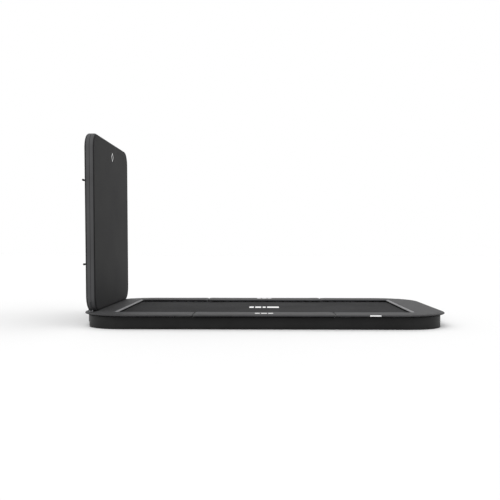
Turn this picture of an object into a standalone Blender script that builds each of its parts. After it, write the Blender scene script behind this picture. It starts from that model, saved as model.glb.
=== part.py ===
"""Flat-ground rectangular trampoline with an upright inflatable wall on its left short end.

Metres, +Z up. X runs along the bed, with the wall at -X. Z = 0 is the ground under the feet.
"""
import math

import bmesh
import bpy
from mathutils import Matrix, Vector

# ---- Driving dimensions -------------------------------------------------------------------
GAP = 0.0003

PAD_HALF_LENGTH = 2.05
PAD_HALF_WIDTH = 1.25
PAD_CORNER_RADIUS = 0.55
PAD_TOP = 0.168
PAD_THICKNESS = 0.030
PAD_BOTTOM = PAD_TOP - PAD_THICKNESS
OPENING_HALF_LENGTH = 1.645
OPENING_HALF_WIDTH = 0.882
SIDE_PAD_HALF_LENGTH = 0.778
SEAM_GAP = 0.003

RAIL_RADIUS = 0.025
RAIL_Z = 0.108
RAIL_HALF_LENGTH = 1.95
RAIL_HALF_WIDTH = 1.15
RAIL_CORNER_RADIUS = 0.34
RAIL_JOINT_X = 1.10
COUPLER_LENGTH = 0.12
COUPLER_RADIUS = 0.0285
COUPLER_BORE = 0.0262

SKIRT_OUTSET = 0.034
SKIRT_THICKNESS = 0.004
SKIRT_TOP = 0.135
LEG_POSITIONS = ((-1.58, -1.15), (0.0, -1.15), (1.58, -1.15), (-1.58, 1.15), (0.0, 1.15), (1.58, 1.15))
LEG_RADIUS = 0.017
LEG_GAP = 0.0005
FOOT_RADIUS = 0.0245
FOOT_THICKNESS = 0.004

SPRING_LENGTH = 0.195
SPRING_ENVELOPE = 0.010
SPRING_Z = 0.121
SPRING_PITCH = 0.104
SPRINGS_ON_LONG_SIDE = 32
SPRINGS_ON_SHORT_SIDE = 17
HOOK_STRIP_THICKNESS = 0.004
HOOK_STRIP_GAP = 0.0045
HOOK_STRIP_BOTTOM = 0.096
HOOK_STRIP_TOP = 0.130
RING_REACH = 0.012
LONG_STRIP_HALF_LENGTH = 1.628
SHORT_STRIP_HALF_LENGTH = 0.845

MAT_TOP = 0.134
MAT_THICKNESS = 0.0024
WEBBING_WIDTH = 0.050
WEBBING_THICKNESS = 0.003

WALL_FRONT = -1.882
WALL_THICKNESS = 0.108
WALL_BACK = WALL_FRONT - WALL_THICKNESS
WALL_HALF_WIDTH = 1.00
WALL_HEIGHT = 2.00
WALL_BOTTOM = PAD_TOP + 0.0005
WALL_CORNER_RADIUS = 0.18
WALL_EDGE_RADIUS = 0.030

UPRIGHT_X = WALL_BACK - 0.0185
UPRIGHT_Y = 0.70
UPRIGHT_RADIUS = 0.015
UPRIGHT_BOTTOM = 0.048
UPRIGHT_TOP = 1.968
CROSSBAR_X = WALL_BACK - 0.0455
CROSSBAR_RADIUS = 0.010
CROSSBAR_HALF_LENGTH = 0.87
CROSSBAR_HEIGHTS = {"low": PAD_TOP + 0.53, "high": PAD_TOP + 1.48}
LOOP_Y = 0.38
LOOP_RADIUS = 0.012
LOOP_WIDTH = 0.050
LOOP_PATCH_THICKNESS = 0.002
LOOP_PATCH_HALF_HEIGHT = 0.045
LOOP_NECK_HALF_HEIGHT = 0.006
SADDLE_HALF_WIDTH = 0.022
SADDLE_HALF_HEIGHT = 0.018
GROOVE_REACH = 0.05

SOCKET_RADIUS = 0.018
SOCKET_BORE = 0.0157
SOCKET_BOTTOM = 0.033
SOCKET_TOP = 0.223
SOCKET_FLOOR = 0.008
SOCKET_CLEARANCE = 0.002
ARM_HALF_WIDTH = 0.020
ARM_BOTTOM = 0.064
ARM_GAP = 0.001
NOTCH_HALF_WIDTH = 0.024
NOTCH_BOTTOM = 0.060
NOTCH_TOP = 0.088
CUT_MARGIN = 0.010
KNOB_Z = 0.202
KNOB_RADIUS = 0.014
KNOB_LENGTH = 0.0145
KNOB_EDGE = 0.002
KNOB_BASE = 0.004
SCREW_RADIUS = 0.0035
SCREW_NECK = 0.003
SCREW_CLEARANCE = 0.0008
SCREW_GAP = 0.0005
SCREW_HOLE_DEPTH = 0.03

VALVE_Y = 0.25
VALVE_Z = 0.438
VALVE_RADIUS = 0.028
VALVE_HEIGHT = 0.0097
VALVE_BORE = 0.012
VALVE_EDGE = 0.002
VALVE_PIN_RADIUS = 0.004
VALVE_PIN_LENGTH = 0.0045
VALVE_PIN_DEPTH = 0.005
VALVE_CAP_DEPTH = 0.0103
VALVE_CAP_THICKNESS = 0.006
VALVE_CAP_RADIUS = VALVE_RADIUS - VALVE_EDGE

BUCKLE_X = WALL_FRONT - WALL_THICKNESS / 2
BUCKLE_Y = 0.955
BUCKLE_HALF_LENGTH = 0.016
BUCKLE_HALF_WIDTH = 0.017
BUCKLE_BASE = 0.003
CHEEK_OFFSET = 0.0155
CHEEK_HALF_THICKNESS = 0.0015
CHEEK_ROOT = 0.001
CHEEK_TOP = 0.016
LEVER_WIDTH = 0.026
LEVER_BOTTOM = PAD_TOP + 0.009
LEVER_HEEL = 0.003
LEVER_HINGE_Y = BUCKLE_Y + 0.010
LEVER_HINGE_Z = LEVER_BOTTOM + LEVER_HEEL
LEVER_TIP = ((0.018, 0.0052), (0.020, 0.002))
LEVER_PIN_RADIUS = 0.0018
LEVER_PIN_HALF_LENGTH = 0.0175
LEVER_PIN_CLEARANCE = 0.0004

SIDES = {"front": -1, "back": 1}

# ---- Scene and materials ------------------------------------------------------------------
for old in list(bpy.data.objects):
    bpy.data.objects.remove(old, do_unlink=True)

parts = bpy.data.collections.new("trampoline")
cutters = bpy.data.collections.new("cutters")
for group in (parts, cutters):
    bpy.context.scene.collection.children.link(group)


def linear(channel):
    """One sRGB channel, 0 to 1, as a linear value."""
    return channel / 12.92 if channel <= 0.04045 else ((channel + 0.055) / 1.055) ** 2.4


def material(name, hex_colour, roughness, metallic=0.0):
    made = bpy.data.materials.new(name)
    made.use_nodes = True
    shader = made.node_tree.nodes["Principled BSDF"]
    channels = [int(hex_colour[i:i + 2], 16) / 255 for i in (0, 2, 4)]
    shader.inputs["Base Color"].default_value = (*[linear(c) for c in channels], 1.0)
    shader.inputs["Roughness"].default_value = roughness
    shader.inputs["Metallic"].default_value = metallic
    return made


PAD_COVER = material("pad_cover", "6B6B6B", 0.6)
BED_MESH = material("bed_mesh", "4A4A4A", 0.8)
WEBBING = material("webbing", "242426", 0.85)
SKIRT_PLASTIC = material("skirt_plastic", "2A2A2A", 0.55)
GALVANISED = material("galvanised_steel", "8E9092", 0.4, 0.9)
SPRING_STEEL = material("spring_steel", "A0A2A5", 0.3, 1.0)
BLACK_PAINT = material("black_powder_coat", "1E1E20", 0.45, 0.2)
WALL_FABRIC = material("wall_fabric", "3A3A3A", 0.6)
BLACK_PLASTIC = material("black_plastic", "18181A", 0.45)


# ---- Building helpers ---------------------------------------------------------------------
def finish(name, data, look, matrix=None, group=parts):
    """Make an object from its data, in its collection, with its material."""
    made = bpy.data.objects.new(name, data)
    group.objects.link(made)
    data.materials.append(look)
    if matrix is not None:
        made.matrix_world = matrix
    if group is cutters:
        made.hide_render = True
        made.display_type = "WIRE"
    return made


def box(name, low, high, look, group=parts):
    """A cuboid from its lowest to its highest corner."""
    low, high = Vector(low), Vector(high)
    size = high - low
    shape = bmesh.new()
    bmesh.ops.create_cube(shape, size=1.0, matrix=Matrix.Diagonal((*size, 1.0)))
    data = bpy.data.meshes.new(name)
    shape.to_mesh(data)
    shape.free()
    return finish(name, data, look, Matrix.Translation((low + high) / 2), group)


def rod(name, start, end, radius, look, sides=16, group=parts):
    """A straight round bar between two points."""
    start, end = Vector(start), Vector(end)
    shape = bmesh.new()
    bmesh.ops.create_cone(shape, cap_ends=True, segments=sides, radius1=radius, radius2=radius,
                          depth=(end - start).length)
    data = bpy.data.meshes.new(name)
    shape.to_mesh(data)
    shape.free()
    turn = (end - start).to_track_quat("Z", "Y").to_matrix().to_4x4()
    return finish(name, data, look, Matrix.Translation((start + end) / 2) @ turn, group)


def tube(name, points, radius, look):
    """A bent round tube along a list of points."""
    data = bpy.data.curves.new(name, "CURVE")
    data.dimensions = "3D"
    data.bevel_depth = radius
    data.bevel_resolution = 3
    data.use_fill_caps = True
    line = data.splines.new("POLY")
    line.points.add(len(points) - 1)
    for point, place in zip(line.points, points):
        point.co = (*place, 1.0)
    return finish(name, data, look)


def plate(name, loops, depth, look, matrix, group=parts):
    """A flat outline, with any holes, given its thickness along its own Z."""
    data = bpy.data.curves.new(name, "CURVE")
    data.dimensions = "2D"
    data.fill_mode = "BOTH"
    data.extrude = depth / 2
    for loop in loops:
        line = data.splines.new("POLY")
        line.points.add(len(loop) - 1)
        for point, (x, y) in zip(line.points, loop):
            point.co = (x, y, 0.0, 1.0)
        line.use_cyclic_u = True
    return finish(name, data, look, matrix, group)


def turned(name, profile, look, matrix, steps=16):
    """A closed profile of (radius, height) points turned round its own Z."""
    data = bpy.data.meshes.new(name)
    count = len(profile)
    closed = profile[0][0] > 0
    edges = [(i, i + 1) for i in range(count - 1)]
    if closed:
        edges.append((count - 1, 0))
    data.from_pydata([(r, 0.0, z) for r, z in profile], edges, [])
    made = finish(name, data, look, matrix)
    screw = made.modifiers.new("turn", "SCREW")
    screw.steps = steps
    screw.render_steps = steps
    screw.use_merge_vertices = True
    screw.merge_threshold = 0.00005
    return made


def meshed(curve_object):
    """Replace a curve object by its welded mesh, in the same place."""
    name, place = curve_object.name, curve_object.matrix_world.copy()
    bpy.context.view_layer.update()
    evaluated = curve_object.evaluated_get(bpy.context.evaluated_depsgraph_get())
    data = bpy.data.meshes.new_from_object(evaluated)
    shape = bmesh.new()
    shape.from_mesh(data)
    bmesh.ops.remove_doubles(shape, verts=shape.verts, dist=0.00001)
    shape.to_mesh(data)
    shape.free()
    group = curve_object.users_collection[0]
    look = curve_object.data.materials[0]
    bpy.data.objects.remove(curve_object, do_unlink=True)
    data.materials.clear()
    return finish(name, data, look, place, group)


def combine(target, other, operation):
    """Join another solid to a target, or cut it away."""
    step = target.modifiers.new(operation.lower(), "BOOLEAN")
    step.operation = operation
    step.solver = "EXACT"
    step.object = other


def arc(centre_x, centre_y, radius, start, end, steps):
    """Points along an arc, angles in degrees."""
    return [(centre_x + radius * math.cos(math.radians(start + (end - start) * i / steps)),
             centre_y + radius * math.sin(math.radians(start + (end - start) * i / steps)))
            for i in range(steps + 1)]


def rounded_rectangle(half_x, half_y, radius, steps):
    """An outline with four round corners, about its own centre."""
    corners = ((1, 1, 0), (-1, 1, 90), (-1, -1, 180), (1, -1, 270))
    outline = []
    for sign_x, sign_y, start in corners:
        outline += arc(sign_x * (half_x - radius), sign_y * (half_y - radius), radius,
                       start, start + 90, steps)
    return outline


def joint_axis(name, place, pieces):
    """An empty on a joint's axis, which carries the pieces that move with it."""
    empty = bpy.data.objects.new(name, None)
    empty.location = place
    empty.empty_display_size = 0.05
    parts.objects.link(empty)
    bpy.context.view_layer.update()
    for piece in pieces:
        piece.parent = empty
        piece.matrix_parent_inverse = empty.matrix_world.inverted()
    return empty


# An outline drawn in local X and Y stands upright, facing along X: local X is world Y.
FACING_X = Matrix(((0, 0, 1, 0), (1, 0, 0, 0), (0, 1, 0, 0), (0, 0, 0, 1)))
# A turned shape's own Z points along world Y.
ALONG_Y = Matrix.Rotation(-math.pi / 2, 4, "X")
# An outline's local X is world X and its local Y is world Z, seen from the front.
FACING_FRONT = Matrix.Rotation(math.pi / 2, 4, "X")


# ---- Steel frame --------------------------------------------------------------------------
def end_frame(name, sign):
    """One short end of the frame with its two round corners and the starts of the long sides."""
    inner_x = RAIL_HALF_LENGTH - RAIL_CORNER_RADIUS
    inner_y = RAIL_HALF_WIDTH - RAIL_CORNER_RADIUS
    route = [(RAIL_JOINT_X + GAP, -RAIL_HALF_WIDTH)]
    route += arc(inner_x, -inner_y, RAIL_CORNER_RADIUS, -90, 0, 10)
    route += arc(inner_x, inner_y, RAIL_CORNER_RADIUS, 0, 90, 10)
    route.append((RAIL_JOINT_X + GAP, RAIL_HALF_WIDTH))
    tube(name, [(sign * x, y, RAIL_Z) for x, y in route], RAIL_RADIUS, GALVANISED)


def coupler(name, x, y):
    """A steel sleeve over the joint between a long rail and an end frame."""
    half = COUPLER_LENGTH / 2
    profile = [(COUPLER_RADIUS, half), (COUPLER_RADIUS, -half), (COUPLER_BORE, -half), (COUPLER_BORE, half)]
    along_x = Matrix.Rotation(math.pi / 2, 4, "Y")
    turned(name, profile, GALVANISED, Matrix.Translation((x, y, RAIL_Z)) @ along_x)


def leg(name, x, y):
    """A short post under the rail with a round foot plate."""
    post_top = RAIL_Z - RAIL_RADIUS - LEG_GAP
    profile = [(0.0, post_top), (LEG_RADIUS, post_top), (LEG_RADIUS, FOOT_THICKNESS),
               (FOOT_RADIUS, FOOT_THICKNESS), (FOOT_RADIUS, 0.0), (0.0, 0.0)]
    turned(name, profile, GALVANISED, Matrix.Translation((x, y, 0.0)), steps=12)


end_frame("frame_end_left", -1)
end_frame("frame_end_right", 1)
for side, sign in SIDES.items():
    tube(f"frame_rail_{side}", [(-RAIL_JOINT_X, sign * RAIL_HALF_WIDTH, RAIL_Z),
                                (RAIL_JOINT_X, sign * RAIL_HALF_WIDTH, RAIL_Z)], RAIL_RADIUS, GALVANISED)
    coupler(f"frame_coupler_{side}_left", -RAIL_JOINT_X, sign * RAIL_HALF_WIDTH)
    coupler(f"frame_coupler_{side}_right", RAIL_JOINT_X, sign * RAIL_HALF_WIDTH)
for number, (leg_x, leg_y) in enumerate(LEG_POSITIONS, start=1):
    leg(f"leg_{number}", leg_x, leg_y)


# ---- Skirt around the frame ---------------------------------------------------------------
SKIRT_HALF_LENGTH = RAIL_HALF_LENGTH + SKIRT_OUTSET
SKIRT_HALF_WIDTH = RAIL_HALF_WIDTH + SKIRT_OUTSET
SKIRT_CORNER_RADIUS = RAIL_CORNER_RADIUS + SKIRT_OUTSET
STRAIGHT_X = RAIL_HALF_LENGTH - RAIL_CORNER_RADIUS
STRAIGHT_Y = RAIL_HALF_WIDTH - RAIL_CORNER_RADIUS


def skirt_corner(name, sign_x, sign_y):
    """A quarter-round skirt panel."""
    inner = SKIRT_CORNER_RADIUS - SKIRT_THICKNESS
    band = arc(0, 0, SKIRT_CORNER_RADIUS, 0.1, 89.9, 6) + arc(0, 0, inner, 89.9, 0.1, 6)
    outline = [(sign_x * (STRAIGHT_X + x), sign_y * (STRAIGHT_Y + y)) for x, y in band]
    plate(name, [outline], SKIRT_TOP, SKIRT_PLASTIC, Matrix.Translation((0, 0, SKIRT_TOP / 2)))


for side, sign in SIDES.items():
    faces = sorted((sign * SKIRT_HALF_WIDTH, sign * (SKIRT_HALF_WIDTH - SKIRT_THICKNESS)))
    box(f"skirt_{side}", (-STRAIGHT_X, faces[0], 0.0), (STRAIGHT_X, faces[1], SKIRT_TOP), SKIRT_PLASTIC)
    skirt_corner(f"skirt_corner_{side}_left", -1, sign)
    skirt_corner(f"skirt_corner_{side}_right", 1, sign)
skirt_left = box("skirt_left", (-SKIRT_HALF_LENGTH, -STRAIGHT_Y, 0.0),
                 (-SKIRT_HALF_LENGTH + SKIRT_THICKNESS, STRAIGHT_Y, SKIRT_TOP), SKIRT_PLASTIC)
box("skirt_right", (SKIRT_HALF_LENGTH - SKIRT_THICKNESS, -STRAIGHT_Y, 0.0),
    (SKIRT_HALF_LENGTH, STRAIGHT_Y, SKIRT_TOP), SKIRT_PLASTIC)


# ---- Spring rows --------------------------------------------------------------------------
def spring_row(name, along, across, count, half_strip, outer):
    """A row of extension springs on the hook strip welded along the inside of the rail."""
    low = along * -half_strip + across * outer + Vector((0, 0, HOOK_STRIP_BOTTOM))
    high = along * half_strip + across * (outer + HOOK_STRIP_THICKNESS) + Vector((0, 0, HOOK_STRIP_TOP))
    corners = [[min(pair) for pair in zip(low, high)], [max(pair) for pair in zip(low, high)]]
    strip = box(name, corners[0], corners[1], SPRING_STEEL)
    shape = bmesh.new()
    turn = across.to_track_quat("Z", "Y").to_matrix().to_4x4()
    depth = SPRING_LENGTH + HOOK_STRIP_THICKNESS / 2
    for i in range(count):
        middle = along * ((i - (count - 1) / 2) * SPRING_PITCH) + across * (outer - SPRING_LENGTH + depth / 2)
        place = Matrix.Translation(middle + Vector((0, 0, SPRING_Z))) @ turn
        bmesh.ops.create_cone(shape, cap_ends=True, segments=8, radius1=SPRING_ENVELOPE,
                              radius2=SPRING_ENVELOPE, depth=depth, matrix=place)
    data = bpy.data.meshes.new(f"{name}_envelopes")
    shape.to_mesh(data)
    shape.free()
    combine(strip, finish(data.name, data, SPRING_STEEL, group=cutters), "UNION")


STRIP_X = RAIL_HALF_LENGTH - RAIL_RADIUS - HOOK_STRIP_GAP - HOOK_STRIP_THICKNESS
STRIP_Y = RAIL_HALF_WIDTH - RAIL_RADIUS - HOOK_STRIP_GAP - HOOK_STRIP_THICKNESS
for side, sign in SIDES.items():
    spring_row(f"springs_{side}", Vector((1, 0, 0)), Vector((0, sign, 0)), SPRINGS_ON_LONG_SIDE,
               LONG_STRIP_HALF_LENGTH, STRIP_Y)
for side, sign in (("left", -1), ("right", 1)):
    spring_row(f"springs_{side}", Vector((0, 1, 0)), Vector((sign, 0, 0)), SPRINGS_ON_SHORT_SIDE,
               SHORT_STRIP_HALF_LENGTH, STRIP_X)


# ---- Bed ----------------------------------------------------------------------------------
MAT_HALF_LENGTH = STRIP_X - SPRING_LENGTH - RING_REACH
MAT_HALF_WIDTH = STRIP_Y - SPRING_LENGTH - RING_REACH
MAT_BOTTOM = MAT_TOP - MAT_THICKNESS
WEBBING_TOP = MAT_BOTTOM - GAP
bed_pieces = [box("jump_mat", (-MAT_HALF_LENGTH, -MAT_HALF_WIDTH, MAT_BOTTOM),
                  (MAT_HALF_LENGTH, MAT_HALF_WIDTH, MAT_TOP), BED_MESH)]
for side, sign in SIDES.items():
    rows = sorted((sign * MAT_HALF_WIDTH, sign * (MAT_HALF_WIDTH - WEBBING_WIDTH)))
    bed_pieces.append(box(f"mat_webbing_{side}", (-MAT_HALF_LENGTH, rows[0], WEBBING_TOP - WEBBING_THICKNESS),
                          (MAT_HALF_LENGTH, rows[1], WEBBING_TOP), WEBBING))
for side, sign in (("left", -1), ("right", 1)):
    columns = sorted((sign * MAT_HALF_LENGTH, sign * (MAT_HALF_LENGTH - WEBBING_WIDTH)))
    reach = MAT_HALF_WIDTH - WEBBING_WIDTH - GAP
    bed_pieces.append(box(f"mat_webbing_{side}", (columns[0], -reach, WEBBING_TOP - WEBBING_THICKNESS),
                          (columns[1], reach, WEBBING_TOP), WEBBING))
joint_axis("bed_travel_axis", (0, 0, MAT_TOP), bed_pieces)


# ---- Edge pads ----------------------------------------------------------------------------
def end_pad(name, sign, holes):
    """A C-shaped pad over one short end and its two round corners."""
    inner_x = PAD_HALF_LENGTH - PAD_CORNER_RADIUS
    inner_y = PAD_HALF_WIDTH - PAD_CORNER_RADIUS
    seam = SIDE_PAD_HALF_LENGTH + SEAM_GAP / 2
    outline = [(seam, -PAD_HALF_WIDTH)]
    outline += arc(inner_x, -inner_y, PAD_CORNER_RADIUS, -90, 0, 8)
    outline += arc(inner_x, inner_y, PAD_CORNER_RADIUS, 0, 90, 8)
    outline += [(seam, PAD_HALF_WIDTH), (seam, OPENING_HALF_WIDTH), (OPENING_HALF_LENGTH, OPENING_HALF_WIDTH),
                (OPENING_HALF_LENGTH, -OPENING_HALF_WIDTH), (seam, -OPENING_HALF_WIDTH)]
    loops = [[(sign * x, y) for x, y in outline]] + holes
    plate(name, loops, PAD_THICKNESS, PAD_COVER, Matrix.Translation((0, 0, PAD_BOTTOM + PAD_THICKNESS / 2)))


socket_holes = [arc(UPRIGHT_X, sign * UPRIGHT_Y, SOCKET_RADIUS + SOCKET_CLEARANCE, 0, 345, 23)
                for sign in SIDES.values()]
end_pad("end_pad_left", -1, socket_holes)
end_pad("end_pad_right", 1, [])
for side, sign in SIDES.items():
    rows = sorted((sign * PAD_HALF_WIDTH, sign * OPENING_HALF_WIDTH))
    reach = SIDE_PAD_HALF_LENGTH - SEAM_GAP / 2
    pad = box(f"side_pad_{side}", (-reach, rows[0], PAD_BOTTOM), (reach, rows[1], PAD_TOP), PAD_COVER)
    joint_axis(f"{side}_pad_axis", (0, sign * PAD_HALF_WIDTH, PAD_BOTTOM), [pad])


# ---- Sockets for the wall's uprights ------------------------------------------------------
def socket(name, sign):
    """A tube that the upright drops into, on an arm that passes under the end rail."""
    y = sign * UPRIGHT_Y
    shell = rod(name, (UPRIGHT_X, y, SOCKET_BOTTOM), (UPRIGHT_X, y, SOCKET_TOP), SOCKET_RADIUS,
                BLACK_PAINT, 20)
    arm = box(f"{name}_arm", (UPRIGHT_X, y - ARM_HALF_WIDTH, ARM_BOTTOM),
              (-RAIL_HALF_LENGTH + ARM_HALF_WIDTH, y + ARM_HALF_WIDTH, RAIL_Z - RAIL_RADIUS - ARM_GAP),
              BLACK_PAINT, cutters)
    bore = rod(f"{name}_bore", (UPRIGHT_X, y, SOCKET_BOTTOM + SOCKET_FLOOR),
               (UPRIGHT_X, y, SOCKET_TOP + CUT_MARGIN), SOCKET_BORE, BLACK_PAINT, 20, cutters)
    screw_hole = rod(f"{name}_screw_hole", (UPRIGHT_X, y, KNOB_Z),
                     (UPRIGHT_X, y - sign * SCREW_HOLE_DEPTH, KNOB_Z),
                     SCREW_RADIUS + SCREW_CLEARANCE, BLACK_PAINT, 12, cutters)
    combine(shell, arm, "UNION")
    combine(shell, bore, "DIFFERENCE")
    combine(shell, screw_hole, "DIFFERENCE")
    notch = box(f"{name}_notch", (-SKIRT_HALF_LENGTH - CUT_MARGIN, y - NOTCH_HALF_WIDTH, NOTCH_BOTTOM),
                (-SKIRT_HALF_LENGTH + SKIRT_THICKNESS + CUT_MARGIN, y + NOTCH_HALF_WIDTH, NOTCH_TOP),
                SKIRT_PLASTIC, cutters)
    combine(skirt_left, notch, "DIFFERENCE")


def clamp_knob(name, sign):
    """A knob and its screw, turned on the Y axis, that pins the upright in its socket."""
    profile = [(0.0, KNOB_LENGTH), (KNOB_RADIUS - KNOB_EDGE, KNOB_LENGTH),
               (KNOB_RADIUS, KNOB_LENGTH - KNOB_EDGE), (KNOB_RADIUS, KNOB_BASE),
               (SCREW_RADIUS, SCREW_NECK), (SCREW_RADIUS, 0.0), (0.0, 0.0)]
    tip = UPRIGHT_Y - SOCKET_BORE + SCREW_GAP
    turn = ALONG_Y if sign < 0 else ALONG_Y.inverted()
    place = Matrix.Translation((UPRIGHT_X, sign * tip, KNOB_Z))
    knob = turned(name, profile, BLACK_PLASTIC, place @ turn)
    joint_axis(f"{name}_axis", (UPRIGHT_X, sign * tip, KNOB_Z), [knob])


for side, sign in SIDES.items():
    socket(f"upright_socket_{side}", sign)
    clamp_knob(f"clamp_knob_{side}", sign)


# ---- Inflatable wall and its rear frame ---------------------------------------------------
def wall_panel():
    """The drop-stitch panel: a flat, round-cornered slab with rounded rims."""
    outline = rounded_rectangle(WALL_HALF_WIDTH, WALL_HEIGHT / 2, WALL_CORNER_RADIUS, 6)
    centre = Vector((WALL_FRONT - WALL_THICKNESS / 2, 0, WALL_BOTTOM + WALL_HEIGHT / 2))
    panel = meshed(plate("wall_panel", [outline], WALL_THICKNESS, WALL_FABRIC,
                         Matrix.Translation(centre) @ FACING_X))
    rim = panel.modifiers.new("rim", "BEVEL")
    rim.width = WALL_EDGE_RADIUS
    rim.segments = 3
    rim.limit_method = "ANGLE"
    rim.angle_limit = math.radians(50)
    return panel


def saddle(name, sign, z):
    """A spacer that seats the crossbar against the back of an upright."""
    y = sign * UPRIGHT_Y
    body = box(name, (CROSSBAR_X, y - SADDLE_HALF_WIDTH, z - SADDLE_HALF_HEIGHT),
               (UPRIGHT_X, y + SADDLE_HALF_WIDTH, z + SADDLE_HALF_HEIGHT), BLACK_PLASTIC)
    post = rod(f"{name}_post_groove", (UPRIGHT_X, y, z - GROOVE_REACH), (UPRIGHT_X, y, z + GROOVE_REACH),
               UPRIGHT_RADIUS + GAP, BLACK_PLASTIC, 24, cutters)
    bar = rod(f"{name}_bar_groove", (CROSSBAR_X, y - GROOVE_REACH, z), (CROSSBAR_X, y + GROOVE_REACH, z),
              CROSSBAR_RADIUS + GAP, BLACK_PLASTIC, 24, cutters)
    combine(body, post, "DIFFERENCE")
    combine(body, bar, "DIFFERENCE")
    return body


def back_loop(name, y, z):
    """A webbing patch on the wall's back with a sleeve around the crossbar."""
    patch_front = WALL_BACK - GAP
    patch_back = patch_front - LOOP_PATCH_THICKNESS
    neck = math.degrees(math.asin(LOOP_NECK_HALF_HEIGHT / LOOP_RADIUS))
    outline = [(patch_back, -LOOP_NECK_HALF_HEIGHT), (patch_back, -LOOP_PATCH_HALF_HEIGHT),
               (patch_front, -LOOP_PATCH_HALF_HEIGHT), (patch_front, LOOP_PATCH_HALF_HEIGHT),
               (patch_back, LOOP_PATCH_HALF_HEIGHT), (patch_back, LOOP_NECK_HALF_HEIGHT)]
    outline += arc(CROSSBAR_X, 0, LOOP_RADIUS, neck, 360 - neck, 20)
    hole = arc(CROSSBAR_X, 0, CROSSBAR_RADIUS + GAP, 0, 342, 19)
    return plate(name, [outline, hole], LOOP_WIDTH, WEBBING, Matrix.Translation((0, y, z)) @ FACING_FRONT)


wall_pieces = [wall_panel()]
for side, sign in SIDES.items():
    wall_pieces.append(rod(f"wall_upright_{side}", (UPRIGHT_X, sign * UPRIGHT_Y, UPRIGHT_BOTTOM),
                           (UPRIGHT_X, sign * UPRIGHT_Y, UPRIGHT_TOP), UPRIGHT_RADIUS, BLACK_PAINT, 14))
for level, height in CROSSBAR_HEIGHTS.items():
    wall_pieces.append(rod(f"wall_crossbar_{level}", (CROSSBAR_X, -CROSSBAR_HALF_LENGTH, height),
                           (CROSSBAR_X, CROSSBAR_HALF_LENGTH, height), CROSSBAR_RADIUS, BLACK_PAINT, 12))
    for side, sign in SIDES.items():
        wall_pieces.append(saddle(f"crossbar_saddle_{side}_{level}", sign, height))
        wall_pieces.append(back_loop(f"back_loop_{side}_{level}", sign * LOOP_Y, height))


# ---- Inflation valve ----------------------------------------------------------------------
def facing_back(depth):
    """A turned shape's own Z points out of the wall's back, starting at this depth behind it."""
    return (Matrix.Translation((WALL_BACK - depth, VALVE_Y, VALVE_Z))
            @ Matrix.Rotation(-math.pi / 2, 4, "Y"))


valve_profile = [(VALVE_RADIUS - VALVE_EDGE, VALVE_HEIGHT), (VALVE_RADIUS, VALVE_HEIGHT - VALVE_EDGE),
                 (VALVE_RADIUS, 0.0), (VALVE_BORE, 0.0), (VALVE_BORE, VALVE_HEIGHT)]
wall_pieces.append(turned("valve_body", valve_profile, BLACK_PLASTIC, facing_back(GAP), steps=20))
pin_profile = [(0.0, VALVE_PIN_LENGTH), (VALVE_PIN_RADIUS, VALVE_PIN_LENGTH), (VALVE_PIN_RADIUS, 0.0),
               (0.0, 0.0)]
pin = turned("valve_pin", pin_profile, BLACK_PLASTIC, facing_back(VALVE_PIN_DEPTH), steps=12)
cap_profile = [(0.0, VALVE_CAP_THICKNESS), (VALVE_CAP_RADIUS - VALVE_EDGE, VALVE_CAP_THICKNESS),
               (VALVE_CAP_RADIUS, VALVE_CAP_THICKNESS - VALVE_EDGE), (VALVE_CAP_RADIUS, 0.0), (0.0, 0.0)]
cap = turned("valve_cap", cap_profile, BLACK_PLASTIC, facing_back(VALVE_CAP_DEPTH), steps=20)
joint_axis("wall_lift_axis", (UPRIGHT_X, 0, WALL_BOTTOM), wall_pieces)
joint_axis("valve_pin_axis", (WALL_BACK, VALVE_Y, VALVE_Z), [pin])
joint_axis("valve_cap_axis", (WALL_BACK - VALVE_CAP_DEPTH, VALVE_Y + VALVE_RADIUS, VALVE_Z), [cap])


# ---- Tie-down buckles under the wall's lower corners --------------------------------------
def lever_pin(name, sign, radius, group):
    """A round bar along the lever's hinge axis."""
    return rod(name, (BUCKLE_X - LEVER_PIN_HALF_LENGTH, sign * LEVER_HINGE_Y, LEVER_HINGE_Z),
               (BUCKLE_X + LEVER_PIN_HALF_LENGTH, sign * LEVER_HINGE_Y, LEVER_HINGE_Z), radius,
               GALVANISED, 16, group)


def tie_buckle(name, sign):
    """A base plate with two drilled cheeks, standing on the end pad."""
    floor = PAD_TOP + GAP
    y_low, y_high = sorted((sign * (BUCKLE_Y - BUCKLE_HALF_LENGTH), sign * (BUCKLE_Y + BUCKLE_HALF_LENGTH)))
    base = box(name, (BUCKLE_X - BUCKLE_HALF_WIDTH, y_low, floor),
               (BUCKLE_X + BUCKLE_HALF_WIDTH, y_high, floor + BUCKLE_BASE), GALVANISED)
    for label, offset in (("left", -CHEEK_OFFSET), ("right", CHEEK_OFFSET)):
        x = BUCKLE_X + offset
        cheek = box(f"{name}_cheek_{label}", (x - CHEEK_HALF_THICKNESS, y_low, floor + CHEEK_ROOT),
                    (x + CHEEK_HALF_THICKNESS, y_high, floor + CHEEK_TOP), GALVANISED, cutters)
        combine(base, cheek, "UNION")
    combine(base, lever_pin(f"{name}_pin_hole", sign, LEVER_PIN_RADIUS + LEVER_PIN_CLEARANCE, cutters),
            "DIFFERENCE")


def tie_lever(name, sign):
    """The cam lever between the cheeks, on a pin through them at its outer end."""
    outline = arc(LEVER_HINGE_Y, LEVER_HINGE_Z, LEVER_HEEL, -90, 90, 6)
    outline += [(BUCKLE_Y - inward, LEVER_BOTTOM + rise) for inward, rise in LEVER_TIP]
    lever = meshed(plate(name, [[(sign * y, z) for y, z in outline]], LEVER_WIDTH, BLACK_PLASTIC,
                         Matrix.Translation((BUCKLE_X, 0, 0)) @ FACING_X))
    combine(lever, lever_pin(f"{name}_pin", sign, LEVER_PIN_RADIUS, cutters), "UNION")
    joint_axis(f"{name}_axis", (BUCKLE_X, sign * LEVER_HINGE_Y, LEVER_HINGE_Z), [lever])


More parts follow.
